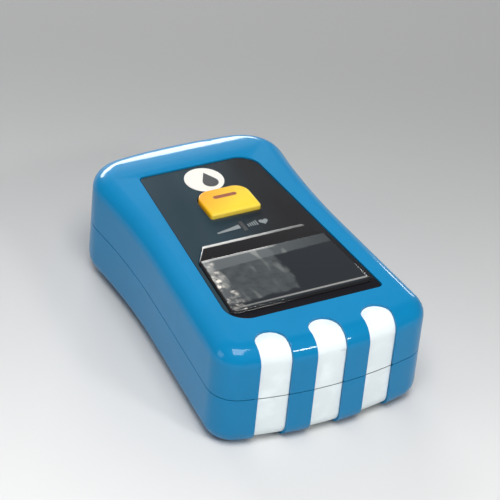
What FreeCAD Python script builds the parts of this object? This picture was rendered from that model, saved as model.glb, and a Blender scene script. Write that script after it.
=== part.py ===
import FreeCAD, Part
import math
import os
import re
import types

import Sketcher
from FreeCAD import Placement, Rotation, Vector

# Fingertip pulse oximeter, in millimetres.
# X runs across the width, Y from the closed near end (-Y) to the finger end (+Y), and Z up.
# The origin is the middle of the underside.  Two shells meet at a level seam.  The upper jaw
# turns about a pin that lies across the near end, so the finger end opens.

# Driving dimensions: name, value.  "from_near" sizes are measured from the near end.
SIZES = (
    # outer form
    ("overall_length", 64.0),
    ("near_width", 40.6),
    ("knee_width", 36.4),
    ("far_width", 38.9),
    ("knee_from_near", 31.0),
    ("near_bow", 3.0),
    ("far_bow", 2.3),
    ("near_corner", 5.1),
    ("far_corner", 8.3),
    ("body_height", 20.0),
    ("top_round", 3.4),
    ("bottom_round", 3.3),
    ("seam_height", 10.2),
    ("seam_gap", 0.16),
    ("seam_land", 0.1),
    ("wall", 1.6),
    ("floor_thickness", 1.8),
    ("roof_thickness", 2.8),
    ("fit_gap", 0.15),
    # grip stripes of the near end
    ("stripe_pitch", 10.0),
    ("stripe_shift", -0.5),
    ("stripe_width", 5.6),
    ("stripe_reach", 6.4),
    ("groove_depth", 1.1),
    ("stripe_sink", 0.45),
    ("stripe_gap", 0.04),
    # fascia, display and button
    ("fascia_from_near", 10.3),
    ("fascia_length", 43.5),
    ("fascia_near_width", 28.8),
    ("fascia_far_width", 22.0),
    ("fascia_recess", 1.0),
    ("fascia_thickness", 0.85),
    ("fascia_big_corner", 4.0),
    ("fascia_small_corner", 1.0),
    ("lens_from_near", 12.2),
    ("lens_length", 19.0),
    ("lens_near_width", 26.8),
    ("lens_shoulder_width", 24.6),
    ("lens_far_width", 19.4),
    ("lens_shoulder", 4.0),
    ("lens_corner", 1.0),
    ("lens_thickness", 1.3),
    ("lens_bevel", 0.4),
    ("lens_gap", 0.06),
    ("glass_from_near", 13.9),
    ("glass_length", 15.2),
    ("glass_width", 21.4),
    ("glass_thickness", 2.0),
    ("glass_seat", 1.0),
    ("holder_wall", 0.6),
    ("holder_gap", 0.1),
    ("backlight_inset", 0.2),
    ("contact_strip_length", 1.0),
    ("emblem_from_near", 49.4),
    ("emblem_shift", -0.3),
    ("emblem_radius", 3.6),
    ("emblem_thickness", 0.08),
    ("button_from_near", 38.1),
    ("button_shift", 0.5),
    ("button_width", 9.8),
    ("button_length", 7.3),
    ("button_rise", 0.75),
    ("button_big_corner", 2.6),
    ("button_small_corner", 0.6),
    ("button_edge", 0.35),
    ("button_flange", 0.8),
    ("button_gap", 0.15),
    ("button_travel", 0.4),
    ("button_play", 0.1),
    ("skirt_play", 0.05),
    ("skirt_gap", 0.1),
    # boards
    ("board_width", 24.8),
    ("board_from_near", 12.0),
    ("board_length", 37.0),
    ("board_thickness", 1.0),
    ("board_drop", 1.9),
    ("board_corner", 0.8),
    ("processor_width", 7.0),
    ("processor_x", 8.0),
    ("processor_y", 6.0),
    ("amplifier_width", 5.0),
    ("amplifier_x", 2.5),
    ("amplifier_y", 7.0),
    ("crystal_length", 3.2),
    ("crystal_x", 6.0),
    ("crystal_y", 1.5),
    ("chip_height", 1.0),
    ("small_part_length", 1.0),
    ("small_part_height", 0.45),
    ("small_part_x", 1.0),
    ("small_part_y", 1.2),
    ("small_part_pitch", 1.5),
    ("small_row_pitch", 2.1),
    ("seat_gap", 0.02),
    ("switch_width", 5.2),
    ("switch_thickness", 0.5),
    ("plunger_radius", 1.0),
    ("plunger_gap", 0.06),
    ("sensor_from_near", 48.0),
    ("window_radius", 3.0),
    ("sensor_board_length", 8.0),
    ("sensor_board_drop", 0.6),
    ("sensor_board_thickness", 0.8),
    ("diode_width", 3.0),
    ("sensor_board_reach", 6.0),
    ("window_gap", 0.05),
    ("window_recess", 0.03),
    ("ribbon_thickness", 0.2),
    ("ribbon_width", 1.5),
    ("ribbon_tuck", 0.3),
    ("ribbon_landing", 1.2),
    ("ribbon_back", 2.2),
    ("ribbon_slot_spare", 0.5),
    ("ribbon_slot_back", 0.8),
    ("ribbon_slot_length", 2.0),
    # hinge
    ("pin_from_near", 4.6),
    ("pin_height", 15.2),
    ("pin_radius", 0.75),
    ("pin_length", 18.6),
    ("pin_clearance", 0.05),
    ("knuckle_radius", 1.75),
    ("lower_knuckle_x", 8.0),
    ("upper_knuckle_x", 5.8),
    ("knuckle_width", 1.8),
    ("coil_radius", 1.3),
    ("coil_wire", 0.44),
    ("coil_x", 2.6),
    ("coil_turns", 4.0),
    ("coil_spacing", 0.1),
    ("lower_leg_length", 4.6),
    ("upper_leg_reach", 2.4),
    ("leg_back", 0.15),
    ("lower_leg_gap", 0.1),
    ("upper_leg_gap", 0.05),
    ("lower_arm_heel", 0.25),
    ("lower_arm_foot", 3.4),
    ("lower_arm_sink", 0.3),
    ("upper_arm_heel", 0.3),
    ("upper_arm_foot", 1.5),
    # inner frames and finger pads
    ("frame_thickness", 1.0),
    ("lower_frame_from_near", 4.8),
    ("upper_frame_from_near", 8.6),
    ("frame_seam_gap", 0.15),
    ("rail_width", 1.0),
    ("rail_start", 1.0),
    ("rail_end_gap", 2.0),
    ("pad_width", 22.6),
    ("pad_from_near", 36.0),
    ("pad_length", 25.2),
    ("pad_end_wall", 2.2),
    ("pad_flange", 1.0),
    ("pad_flange_thickness", 0.7),
    ("pad_flange_short", 1.0),
    ("pad_flange_gap", 0.03),
    ("lower_pad_bottom", 5.6),
    ("upper_pad_top", 14.0),
    ("pad_skin", 0.8),
    ("trough_radius", 12.0),
    ("mouth_width", 20.8),
    ("mouth_low", 6.6),
    ("mouth_high", 13.6),
    ("mouth_corner", 3.0),
    ("mouth_overlap", 3.0),
    # battery and its cover
    ("cell_from_near", 22.0),
    ("cell_radius", 10.0),
    ("cell_thickness", 2.5),
    ("cell_bottom", 2.75),
    ("cell_gap", 0.05),
    ("cell_edge", 0.35),
    ("contact_thickness", 0.25),
    ("contact_width", 4.0),
    ("contact_length", 12.0),
    ("side_contact_gap", 0.35),
    ("cover_radius", 12.0),
    ("cover_step", 0.95),
    ("cover_skin", 0.85),
    ("cover_gap", 0.12),
    ("cover_boss_height", 2.5),
    ("tab_reach", 1.3),
    ("tab_angle", 24.0),
    ("unlock_angle", 60.0),
    ("coin_slot_length", 14.0),
    ("coin_slot_width", 1.8),
    ("coin_slot_depth", 0.7),
    # screws
    ("screw_x", 14.6),
    ("screw_near_from_near", 12.6),
    ("screw_far_from_near", 54.0),
    ("screw_radius", 0.85),
    ("screw_head_radius", 1.55),
    ("screw_head_height", 0.7),
    ("screw_sink", 1.2),
    ("upper_screw_head_height", 0.42),
    ("upper_screw_length", 4.0),
    ("screw_slot_length", 2.0),
    ("screw_slot_width", 0.4),
    ("screw_slot_depth", 0.3),
    ("screw_clearance", 0.1),
    ("screw_sink_gap", 0.15),
    ("screw_end_gap", 0.2),
    ("screw_head_gap", 0.03),
    ("boss_radius", 1.95),
)

doc = FreeCAD.newDocument("pulse_oximeter")
sheet = doc.addObject("Spreadsheet::Sheet", "Sizes")
for row, (alias, number) in enumerate(SIZES, start=1):
    sheet.set(f"A{row}", alias)
    sheet.set(f"B{row}", str(number))
    sheet.setAlias(f"B{row}", alias)
doc.recompute()

ALIASES = re.compile(r"\b(" + "|".join(alias for alias, number in SIZES) + r")\b")
D = types.SimpleNamespace(**{alias: float(sheet.get(alias)) for alias, number in SIZES})
gauge = doc.addObject("App::FeaturePython", "Gauge")
gauge.addProperty("App::PropertyFloat", "Reading")

# Places worked out from the driving dimensions, written as sheet expressions.
NEAR = "(-overall_length/2)"
SEAM_LOW = "(seam_height-seam_gap/2)"
SEAM_HIGH = "(seam_height+seam_gap/2)"
ROOF = "(body_height-roof_thickness)"
FASCIA_SEAT = "(body_height-fascia_recess)"
FASCIA_TOP = f"({FASCIA_SEAT}+fascia_thickness)"
FASCIA_Y = f"({NEAR}+fascia_from_near)"
LENS_Y = f"({NEAR}+lens_from_near)"
GLASS_Y = f"({NEAR}+glass_from_near)"
BUTTON_Y = f"({NEAR}+button_from_near)"
BUTTON_MID = f"({BUTTON_Y}+button_length/2)"
BOARD_TOP = f"({ROOF}-board_drop)"
BOARD_LOW = f"({BOARD_TOP}-board_thickness)"
BOARD_Y = f"({NEAR}+board_from_near)"
GLASS_LOW = f"({BOARD_TOP}+glass_seat)"
SWITCH_TOP = f"({BOARD_TOP}+switch_thickness)"
PLUNGER_TOP = f"({SWITCH_TOP}+button_travel+button_play)"
BUTTON_FOOT = f"({PLUNGER_TOP}+skirt_play)"
SENSOR_Y = f"({NEAR}+sensor_from_near)"
PIN_Y = f"({NEAR}+pin_from_near)"
PAD_Y = f"({NEAR}+pad_from_near)"
LOWER_FRAME_TOP = f"({SEAM_LOW}-frame_seam_gap)"
LOWER_FRAME_LOW = f"({LOWER_FRAME_TOP}-frame_thickness)"
UPPER_FRAME_LOW = f"({SEAM_HIGH}+frame_seam_gap)"
UPPER_FRAME_TOP = f"({UPPER_FRAME_LOW}+frame_thickness)"
SENSOR_BOARD_TOP = "(lower_pad_bottom-sensor_board_drop)"
CELL_Y = f"({NEAR}+cell_from_near)"
CELL_TOP = "(cell_bottom+2*cell_thickness+cell_gap)"
RIBBON_X = "(pad_width/2-ribbon_tuck)"
RIBBON_Y = f"({BOARD_Y}-ribbon_back)"
STRIPES = {"left": -1, "middle": 0, "right": 1}


def bound(text):
    """An expression with each size's name led back to the sheet."""
    return ALIASES.sub(r"Sizes.\1", str(text))


def value(text):
    """The number that an expression stands for now, read from a property bound to it."""
    gauge.setExpression("Reading", bound(text))
    gauge.recompute()
    return gauge.Reading


def place(item, x="0", y="0", z="0", turn=Rotation()):
    """Turns an object and binds its place to three expressions."""
    item.Placement = Placement(Vector(0, 0, 0), turn)
    item.setExpression("Placement.Base.x", bound(x))
    item.setExpression("Placement.Base.y", bound(y))
    item.setExpression("Placement.Base.z", bound(z))
    return item


def box(name, xs, ys, zs):
    """A block between three pairs of low and high places."""
    item = doc.addObject("Part::Box", name)
    for side, (low, high) in zip(("Length", "Width", "Height"), (xs, ys, zs)):
        item.setExpression(side, bound(f"({high})-({low})"))
    return place(item, xs[0], ys[0], zs[0])


def wide(width):
    """The low and high places of a width that straddles the middle plane."""
    return (f"-({width})/2", f"({width})/2")


def rod(name, radius, low, high, x="0", y="0"):
    """An upright cylinder."""
    item = doc.addObject("Part::Cylinder", name)
    item.setExpression("Radius", bound(radius))
    item.setExpression("Height", bound(f"({high})-({low})"))
    return place(item, x, y, low)


def cross_rod(name, radius, length, x, y, z):
    """A cylinder that lies along X, centred on x."""
    item = doc.addObject("Part::Cylinder", name)
    item.setExpression("Radius", bound(radius))
    item.setExpression("Height", bound(length))
    return place(item, f"({x})-({length})/2", y, z, Rotation(Vector(0, 1, 0), 90))


def join(name, *pieces):
    item = doc.addObject("Part::MultiFuse", name)
    item.Shapes = list(pieces)
    return item


def cut(name, base, *tools):
    item = doc.addObject("Part::Cut", name)
    item.Base = base
    item.Tool = tools[0] if len(tools) == 1 else join(name + "_tools", *tools)
    return item


def group(name, *pieces):
    """Separate solids kept in one piece of the tree."""
    item = doc.addObject("Part::Compound", name)
    item.Links = list(pieces)
    return item


def rounded(name, base, radius, pick):
    """Rounds the edges of base that pick accepts."""
    doc.recompute()
    edges = [i for i, edge in enumerate(base.Shape.Edges, start=1) if pick(edge)]
    item = doc.addObject("Part::Fillet", name)
    item.Base = base
    item.Edges = [(i, value(radius), value(radius)) for i in edges]
    return item


def bevelled(name, base, size, pick):
    """Bevels the edges of base that pick accepts."""
    doc.recompute()
    edges = [i for i, edge in enumerate(base.Shape.Edges, start=1) if pick(edge)]
    item = doc.addObject("Part::Chamfer", name)
    item.Base = base
    item.Edges = [(i, value(size), value(size)) for i in edges]
    return item


def at_height(height):
    """Accepts the edges that lie level at a height."""
    level = value(height)

    def pick(edge):
        return abs(edge.BoundBox.ZMin - level) < 1e-4 and abs(edge.BoundBox.ZMax - level) < 1e-4
    return pick


def plate(name, corners, bottom, thickness, rounds=()):
    """A plate padded from a sketch of straight sides, with upright corners rounded.

    corners are pairs of expressions, in turn; rounds gives each corner's radius or None.
    """
    body = doc.addObject("PartDesign::Body", name)
    sketch = body.newObject("Sketcher::SketchObject", name + "_outline")
    plane = [item for item in body.Origin.OriginFeatures if item.Role == "XY_Plane"][0]
    sketch.AttachmentSupport = [(plane, "")]
    sketch.MapMode = "FlatFace"
    sketch.setExpression("AttachmentOffset.Base.z", bound(bottom))
    points = [Vector(value(x), value(y), 0) for x, y in corners]
    count = len(points)
    for i in range(count):
        sketch.addGeometry(Part.LineSegment(points[i], points[(i + 1) % count]))
    for i in range(count):
        sketch.addConstraint(Sketcher.Constraint("Coincident", i, 2, (i + 1) % count, 1))
    for i, (x, y) in enumerate(corners):
        for way, place_text in (("DistanceX", x), ("DistanceY", y)):
            number = sketch.addConstraint(Sketcher.Constraint(way, i, 1, value(place_text)))
            sketch.setExpression(f"Constraints[{number}]", bound(place_text))
    pad = body.newObject("PartDesign::Pad", name + "_pad")
    pad.Profile = sketch
    pad.setExpression("Length", bound(thickness))
    for i, radius in enumerate(rounds):
        if radius is None:
            continue
        doc.recompute()
        last = body.Tip
        edges = [
            f"Edge{j}" for j, edge in enumerate(last.Shape.Edges, start=1)
            if edge.BoundBox.ZLength > 1e-3
            and abs(edge.BoundBox.XMin - points[i].x) < 1e-3
            and abs(edge.BoundBox.XMax - points[i].x) < 1e-3
            and abs(edge.BoundBox.YMin - points[i].y) < 1e-3
            and abs(edge.BoundBox.YMax - points[i].y) < 1e-3
        ]
        fillet = body.newObject("PartDesign::Fillet", f"{name}_corner_{i}")
        fillet.Base = (last, edges)
        fillet.setExpression("Radius", bound(radius))
        body.Tip = fillet
    return body


def tapered(name, near_width, far_width, start, length, bottom, thickness, rounds=(), grow="0",
            middle="0"):
    """A plate about x = middle whose two widths differ, grown on every side by grow."""
    near_y = f"({start})-({grow})"
    far_y = f"({start})+({length})+({grow})"
    near_x = f"(({near_width})/2+({grow}))"
    far_x = f"(({far_width})/2+({grow}))"
    corners = ((f"{middle}-{near_x}", near_y), (f"{middle}+{near_x}", near_y),
               (f"{middle}+{far_x}", far_y), (f"{middle}-{far_x}", far_y))
    return plate(name, corners, bottom, thickness, rounds)


def code_shape(name, shape):
    """A piece whose free outline is made by Part's own functions."""
    item = doc.addObject("Part::Feature", name)
    item.Shape = shape
    item.Placement = Placement()
    return item


# ---- the hourglass outer form, shared by the shells, the frames and the grip inlays ----

def side_arc(knee, start, end):
    """An arc from knee to end that leaves knee in the line from start to knee."""
    direction = (knee - start).normalize()
    normal = Vector(-direction.y, direction.x, 0)
    chord = end - knee
    radius = chord.dot(chord) / (2 * chord.dot(normal))
    centre = knee + normal * radius
    middle = centre + ((knee - centre) + (end - centre)).normalize() * abs(radius)
    return Part.Arc(knee, middle, end).toShape()


def outline_corners(inset):
    """The right-hand near corner, knee and far corner of the outline, set in by inset."""
    half = D.overall_length / 2
    near = Vector(D.near_width / 2 - inset, -half + D.near_bow + inset, 0)
    knee = Vector(D.knee_width / 2 - inset, -half + D.knee_from_near, 0)
    far = Vector(D.far_width / 2 - inset, half - D.far_bow - inset, 0)
    return near, knee, far


def form(inset, bottom, top):
    """The hourglass prism, set in by inset, with its upright corners rounded."""
    near, knee, far = outline_corners(inset)
    half = D.overall_length / 2 - inset
    mirror = [Vector(-p.x, p.y, 0) for p in (near, knee, far)]
    flip = Vector(1, 0, 0)
    right = side_arc(knee, near, far)
    edges = [
        Part.Arc(mirror[0], Vector(0, -half, 0), near).toShape(),
        Part.LineSegment(near, knee).toShape(),
        right,
        Part.Arc(far, Vector(0, half, 0), mirror[2]).toShape(),
        right.mirror(Vector(0, 0, 0), flip),
        Part.LineSegment(mirror[1], mirror[0]).toShape(),
    ]
    wire = Part.Wire(Part.__sortEdges__(edges))
    solid = Part.Face(wire).extrude(Vector(0, 0, top - bottom))
    solid.translate(Vector(0, 0, bottom))
    for corner, radius in ((near, D.near_corner - inset), (far, D.far_corner - inset)):
        upright = [
            edge for edge in solid.Edges
            if edge.BoundBox.ZLength > 0.1
            and abs(abs(edge.CenterOfMass.x) - corner.x) < 1e-3
            and abs(edge.CenterOfMass.y - corner.y) < 1e-3
        ]
        solid = solid.makeFillet(radius, upright)
    return solid


def level_edges(solid, height):
    return [
        edge for edge in solid.Edges
        if abs(edge.BoundBox.ZMin - height) < 1e-3 and abs(edge.BoundBox.ZMax - height) < 1e-3
    ]


def soft_form(inset):
    """The whole outer form, set in by inset, with its top and bottom edges rounded."""
    top = D.body_height - inset
    solid = form(inset, inset, top)
    solid = solid.makeFillet(D.top_round - inset, level_edges(solid, top))
    return solid.makeFillet(D.bottom_round - inset, level_edges(solid, inset))


def slab(low, high, start=-200.0, end=200.0):
    """A level slab that reaches past every side, or only from start to end along Y."""
    return Part.makeBox(400, end - start, high - low, Vector(-200, start, low))


def stripe_column(side, spare):
    """The upright column of one grip stripe, round at its inner end, less spare all round."""
    half = D.stripe_width / 2 - spare
    x = side * D.stripe_pitch + D.stripe_shift
    centre = -D.overall_length / 2 + D.stripe_reach - D.stripe_width / 2
    straight = Part.makeBox(2 * half, 100, 200, Vector(x - half, centre - 100, -50))
    end = Part.makeCylinder(half, 200, Vector(x, centre, -50))
    return straight.fuse(end)


def seam_relief():
    """What the turning upper rim sweeps out of the lower rim at the near end."""
    depth = D.wall - D.seam_land
    low = value(SEAM_LOW)
    solid = form(D.seam_land, low - depth, low + 5)
    solid = solid.makeChamfer(depth - 0.01, level_edges(solid, low - depth))
    return solid.common(slab(-50, 100, end=value(PIN_Y) + 1))


def screw_places():
    """The four screw axes, near pair first."""
    half = D.overall_length / 2
    rows = (D.screw_near_from_near - half, D.screw_far_from_near - half)
    return [Vector(side * D.screw_x, y, 0) for y in rows for side in (-1, 1)]


def posts(radius, low, high):
    """Four upright cylinders on the screw axes."""
    return [Part.makeCylinder(radius, high - low, p + Vector(0, 0, low)) for p in screw_places()]


def mouth():
    """The finger opening cut through the far wall."""
    low, high = D.mouth_low, D.mouth_high
    start = value(f"{PAD_Y}+pad_length-mouth_overlap")
    block = Part.makeBox(D.mouth_width, 40, high - low, Vector(-D.mouth_width / 2, start, low))
    edges = [edge for edge in block.Edges if edge.BoundBox.YLength > 10]
    return block.makeFillet(D.mouth_corner, edges)


def cut_from(solid, tools):
    for tool in tools:
        solid = solid.cut(tool)
    return solid


FORM = soft_form(0.0)
GROOVE_SKIN = FORM.cut(soft_form(D.groove_depth))
INLAY_SKIN = soft_form(D.stripe_sink).cut(soft_form(D.groove_depth))
GROOVES = [GROOVE_SKIN.common(stripe_column(side, 0.0)) for side in STRIPES.values()]


def upper_shell():
    seam, roof = value(SEAM_HIGH), value(ROOF)
    shell = FORM.common(slab(seam, 100))
    shell = shell.cut(form(D.wall, seam - 1, roof))
    bosses = posts(D.boss_radius, value(UPPER_FRAME_TOP), roof + 0.5)
    shell = shell.fuse([post.common(FORM) for post in bosses])
    fascia_hole = tapered(
        "fascia_recess_tool", "fascia_near_width", "fascia_far_width", FASCIA_Y, "fascia_length",
        FASCIA_SEAT, "5", ("fascia_big_corner", "fascia_small_corner", "fascia_big_corner",
                           "fascia_small_corner"), "fit_gap")
    glass_hole = box("glass_hole_tool", wide("glass_width+2*fit_gap"),
                     (f"{GLASS_Y}-fit_gap", f"{GLASS_Y}+glass_length+fit_gap"),
                     (f"{ROOF}-1", f"{ROOF}+5"))
    button_hole = button_prism("button_hole_tool", f"{ROOF}-1", "10", "button_gap")
    doc.recompute()
    tools = [item.Shape for item in (fascia_hole, glass_hole, button_hole)]
    tools += posts(D.screw_radius, 0, value(UPPER_FRAME_TOP) + 4)
    return code_shape("upper_shell", cut_from(shell, tools + GROOVES + [mouth()]).removeSplitter())


def lower_shell():
    seam = value(SEAM_LOW)
    shell = FORM.common(slab(-1, seam))
    shell = shell.cut(form(D.wall, D.floor_thickness, seam + 1))
    bosses = posts(D.boss_radius, D.floor_thickness - 0.5, value(LOWER_FRAME_LOW))
    shell = shell.fuse([post.common(FORM) for post in bosses])
    centre = Vector(0, value(CELL_Y), 0)
    step = D.cover_step + D.cover_gap
    cover_hole = Part.makeCylinder(D.cover_radius + D.cover_gap, step, centre)
    neck = Part.makeCylinder(cover_neck() + D.cover_gap, 5, centre)
    notches = [tab(D.unlock_angle + turn, D.cover_step, 5.0, D.cover_gap) for turn in (0, 180)]
    screw_holes = posts(D.screw_radius + D.screw_clearance, -1, value(LOWER_FRAME_LOW) + 1)
    sinks = posts(D.screw_head_radius + D.screw_sink_gap, -1, D.screw_sink + D.screw_head_height)
    tools = [cover_hole, neck, seam_relief(), mouth()] + notches + screw_holes + sinks + GROOVES
    return code_shape("lower_shell", cut_from(shell, tools).removeSplitter())


def grip_inlays():
    """White inlays: each stripe is an upper and a lower piece, parted at the seam."""
    pieces = {}
    lower = slab(-1, value(SEAM_LOW)).cut(seam_relief())
    parting = lower.copy()
    parting.translate(Vector(0, 0, D.seam_gap))
    for name, side in STRIPES.items():
        stripe = INLAY_SKIN.common(stripe_column(side, D.stripe_gap))
        pieces[f"upper_grip_{name}"] = stripe.cut(parting)
        pieces[f"lower_grip_{name}"] = stripe.common(lower)
    return [code_shape(name, shape) for name, shape in pieces.items()]


# ---- battery cover ----

def cover_neck():
    return D.cover_radius - D.cover_skin


def tab(angle, low, thickness, spare):
    """A bayonet tab: a sector that reaches past the neck by spare more, centred on an angle."""
    reach = cover_neck() + D.tab_reach + spare
    half = D.tab_angle / 2 + math.degrees(2 * spare / reach)
    sector = Part.makeCylinder(reach, thickness, Vector(0, 0, 0), Vector(0, 0, 1), 2 * half)
    sector.rotate(Vector(0, 0, 0), Vector(0, 0, 1), angle - half)
    sector.translate(Vector(0, value(CELL_Y), low))
    return sector


def battery_cover():
    """A coin-slot cover: a disc flush with the floor, a neck and two bayonet tabs."""
    centre = Vector(0, value(CELL_Y), D.cover_gap)
    disc = Part.makeCylinder(D.cover_radius, D.cover_step - D.cover_gap, centre)
    neck = Part.makeCylinder(cover_neck(), D.cover_boss_height - D.cover_gap, centre)
    tab_low = D.floor_thickness + D.cover_gap
    tabs = [tab(turn, tab_low, D.cover_boss_height - tab_low, 0.0) for turn in (0, 180)]
    slot = Part.makeBox(D.coin_slot_length, D.coin_slot_width, D.coin_slot_depth,
                        centre - Vector(D.coin_slot_length / 2, D.coin_slot_width / 2, D.cover_gap))
    solid = disc.fuse([neck] + tabs).cut(slot).removeSplitter()
    return code_shape("battery_cover", solid)


def is_rim(edge):
    """Accepts a cell's two round rims, which are longer than its upright seam."""
    return edge.Length > 2 * D.cell_radius


def cells():
    """Two coin cells, one on the other."""
    pieces = []
    for number, name in enumerate(("lower", "upper")):
        low = f"cell_bottom+{number}*(cell_thickness+cell_gap)"
        can = rod(f"{name}_cell_can", "cell_radius", low, f"{low}+cell_thickness", "0", CELL_Y)
        pieces.append(rounded(f"{name}_coin_cell", can, "cell_edge", is_rim))
    return pieces


def contacts():
    """The spring strip over the cells, and the upright strip beside them."""
    half = "contact_length/2"
    upper = box("upper_battery_contact", wide("contact_width"), (f"{CELL_Y}-{half}", f"{CELL_Y}+{half}"),
                (f"{CELL_TOP}+seat_gap", f"{CELL_TOP}+seat_gap+contact_thickness"))
    x = "(-cell_radius-contact_thickness-side_contact_gap)"
    side = box("side_battery_contact", (x, f"{x}+contact_thickness"),
               (f"{CELL_Y}-contact_width/2", f"{CELL_Y}+contact_width/2"),
               ("cell_bottom+cell_edge", LOWER_FRAME_LOW))
    return [upper, side]


# ---- fascia, display and button ----

def fascia():
    sheet_piece = tapered(
        "fascia_blank", "fascia_near_width", "fascia_far_width", FASCIA_Y, "fascia_length",
        FASCIA_SEAT, "fascia_thickness", ("fascia_big_corner", "fascia_small_corner",
                                          "fascia_big_corner", "fascia_small_corner"))
    lens_hole = lens_prism("fascia_lens_hole", f"{FASCIA_SEAT}-1", "5", "lens_gap")
    button_hole = button_prism("fascia_button_hole", f"{FASCIA_SEAT}-1", "5", "button_gap")
    return cut("fascia_panel", sheet_piece, lens_hole, button_hole)


def lens_prism(name, bottom, thickness, grow):
    """The lens outline: straight sides that step in at the far corners, grown by grow."""
    rows = (("lens_near_width", f"{LENS_Y}-({grow})"),
            ("lens_shoulder_width", f"{LENS_Y}+lens_length-lens_shoulder"),
            ("lens_far_width", f"{LENS_Y}+lens_length+({grow})"))
    right = [(f"{width}/2+({grow})", y) for width, y in rows]
    left = [(f"-({x})", y) for x, y in reversed(right)]
    rounds = ["lens_corner" if width == "lens_near_width" else None for width, y in rows]
    return plate(name, right + left, bottom, thickness, rounds + rounds[::-1])


def display_lens():
    blank = lens_prism("lens_blank", FASCIA_SEAT, "lens_thickness", "0")
    top = at_height(f"{FASCIA_SEAT}+lens_thickness")
    return bevelled("display_lens", blank, "lens_bevel", top)


def display_stack():
    glass_ys = (GLASS_Y, f"{GLASS_Y}+glass_length")
    glass = box("display_glass", wide("glass_width"), glass_ys,
                (GLASS_LOW, f"{GLASS_LOW}+glass_thickness"))
    strip_end = f"({GLASS_Y}+backlight_inset+contact_strip_length)"
    light = box("backlight", wide("glass_width-2*backlight_inset"),
                (f"{strip_end}+backlight_inset", f"{GLASS_Y}+glass_length-backlight_inset"),
                (f"{BOARD_TOP}+seat_gap", f"{GLASS_LOW}-seat_gap"))
    strip = box("contact_strip", wide("glass_width-2*backlight_inset"),
                (f"{GLASS_Y}+backlight_inset", strip_end), (BOARD_TOP, GLASS_LOW))
    skin = "(holder_gap+holder_wall)"
    outer = box("holder_outer", wide(f"glass_width+2*{skin}"),
                (f"{GLASS_Y}-{skin}", f"{GLASS_Y}+glass_length+{skin}"),
                (BOARD_TOP, f"{ROOF}-holder_gap/2"))
    inner = box("holder_inner", wide("glass_width+2*holder_gap"),
                (f"{GLASS_Y}-holder_gap", f"{GLASS_Y}+glass_length+holder_gap"),
                (f"{BOARD_TOP}-1", f"{ROOF}+1"))
    return [glass, light, strip, cut("display_holder", outer, inner)]


def emblem_disc():
    return rod("emblem_disc", "emblem_radius", FASCIA_TOP, f"{FASCIA_TOP}+emblem_thickness",
               "emblem_shift", f"{NEAR}+emblem_from_near")


def button_prism(name, bottom, thickness, grow):
    rounds = ("button_small_corner", "button_small_corner", "button_big_corner", "button_big_corner")
    return tapered(name, "button_width", "button_width", BUTTON_Y, "button_length",
                   bottom, thickness, rounds, grow, "button_shift")


def power_button():
    top = f"({FASCIA_TOP}+button_rise)"
    cap = button_prism("button_cap_blank", f"{ROOF}-0.5", f"{top}-{ROOF}+0.5", "0")
    soft = rounded("button_cap", cap, "button_edge", at_height(top))
    flange = button_prism("button_skirt", BUTTON_FOOT, f"{ROOF}-skirt_gap-{BUTTON_FOOT}", "button_flange")
    return join("power_button", soft, flange)


def switch():
    body = box("switch_blank", ("button_shift-switch_width/2", "button_shift+switch_width/2"),
               (f"{BUTTON_MID}-switch_width/2", f"{BUTTON_MID}+switch_width/2"), (BOARD_TOP, SWITCH_TOP))
    bore = rod("switch_bore", "plunger_radius+plunger_gap", f"{BOARD_TOP}-1", f"{SWITCH_TOP}+1",
               "button_shift", BUTTON_MID)
    plunger = rod("switch_plunger", "plunger_radius", f"{BOARD_TOP}+button_travel+plunger_gap",
                  PLUNGER_TOP, "button_shift", BUTTON_MID)
    return [cut("switch_body", body, bore), plunger]


# ---- boards ----

def chip(name, x, y, width, length, height):
    """A block under the main board; x and y are its low corner."""
    return box(name, (x, f"{x}+{width}"), (f"{BOARD_Y}+{y}", f"{BOARD_Y}+{y}+{length}"),
               (f"{BOARD_LOW}-{height}", BOARD_LOW))


def main_board():
    """The main board and what is soldered under it."""
    far_y = f"{BOARD_Y}+board_length"
    corners = (("-board_width/2", BOARD_Y), ("board_width/2", BOARD_Y),
               ("board_width/2", far_y), ("-board_width/2", far_y))
    board = plate("main_board", corners, BOARD_LOW, "board_thickness", ("board_corner",) * 4)
    processor = chip("processor_chip", "-processor_x", "processor_y", "processor_width",
                     "processor_width", "chip_height")
    amplifier = chip("amplifier_chip", "amplifier_x", "amplifier_y", "amplifier_width",
                     "amplifier_width", "chip_height")
    crystal = chip("timing_crystal", "-crystal_x", "crystal_y", "crystal_length",
                   "crystal_length*0.8", "chip_height")
    small = [
        chip(f"small_part_{row}_{column}",
             f"(small_part_x+small_part_pitch*{column}*small_part_length)",
             f"(small_part_y+small_row_pitch*{row})", "small_part_length", "small_part_length/2", "small_part_height")
        for row in range(2) for column in range(5)
    ]
    return [board, processor, amplifier, crystal, group("small_board_parts", *small)]


def sensor_parts():
    """The photodiode on its board below the finger, and the emitter above it."""
    board = box("sensor_board", ("-sensor_board_reach", "pad_width/2+ribbon_width"),
                (f"{SENSOR_Y}-sensor_board_length/2", f"{SENSOR_Y}+sensor_board_length/2"),
                (f"{SENSOR_BOARD_TOP}-sensor_board_thickness", SENSOR_BOARD_TOP))
    half = "diode_width/2"
    diode = box("photodiode", (f"-{half}", half), (f"{SENSOR_Y}-{half}", f"{SENSOR_Y}+{half}"),
                (SENSOR_BOARD_TOP, "lower_pad_bottom"))
    window = rod("detector_window", "window_radius-window_gap", "lower_pad_bottom+window_recess",
                 "lower_pad_bottom+pad_skin-window_recess", "0", SENSOR_Y)
    emitter = box("light_emitter", (f"-{half}", half), (f"{SENSOR_Y}-{half}", f"{SENSOR_Y}+{half}"),
                  ("upper_pad_top+seat_gap", BOARD_LOW))
    top_window = rod("emitter_window", "window_radius-window_gap",
                     "upper_pad_top-pad_skin+window_recess", "upper_pad_top-window_recess", "0", SENSOR_Y)
    return [board, diode, window, emitter, top_window]


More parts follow.
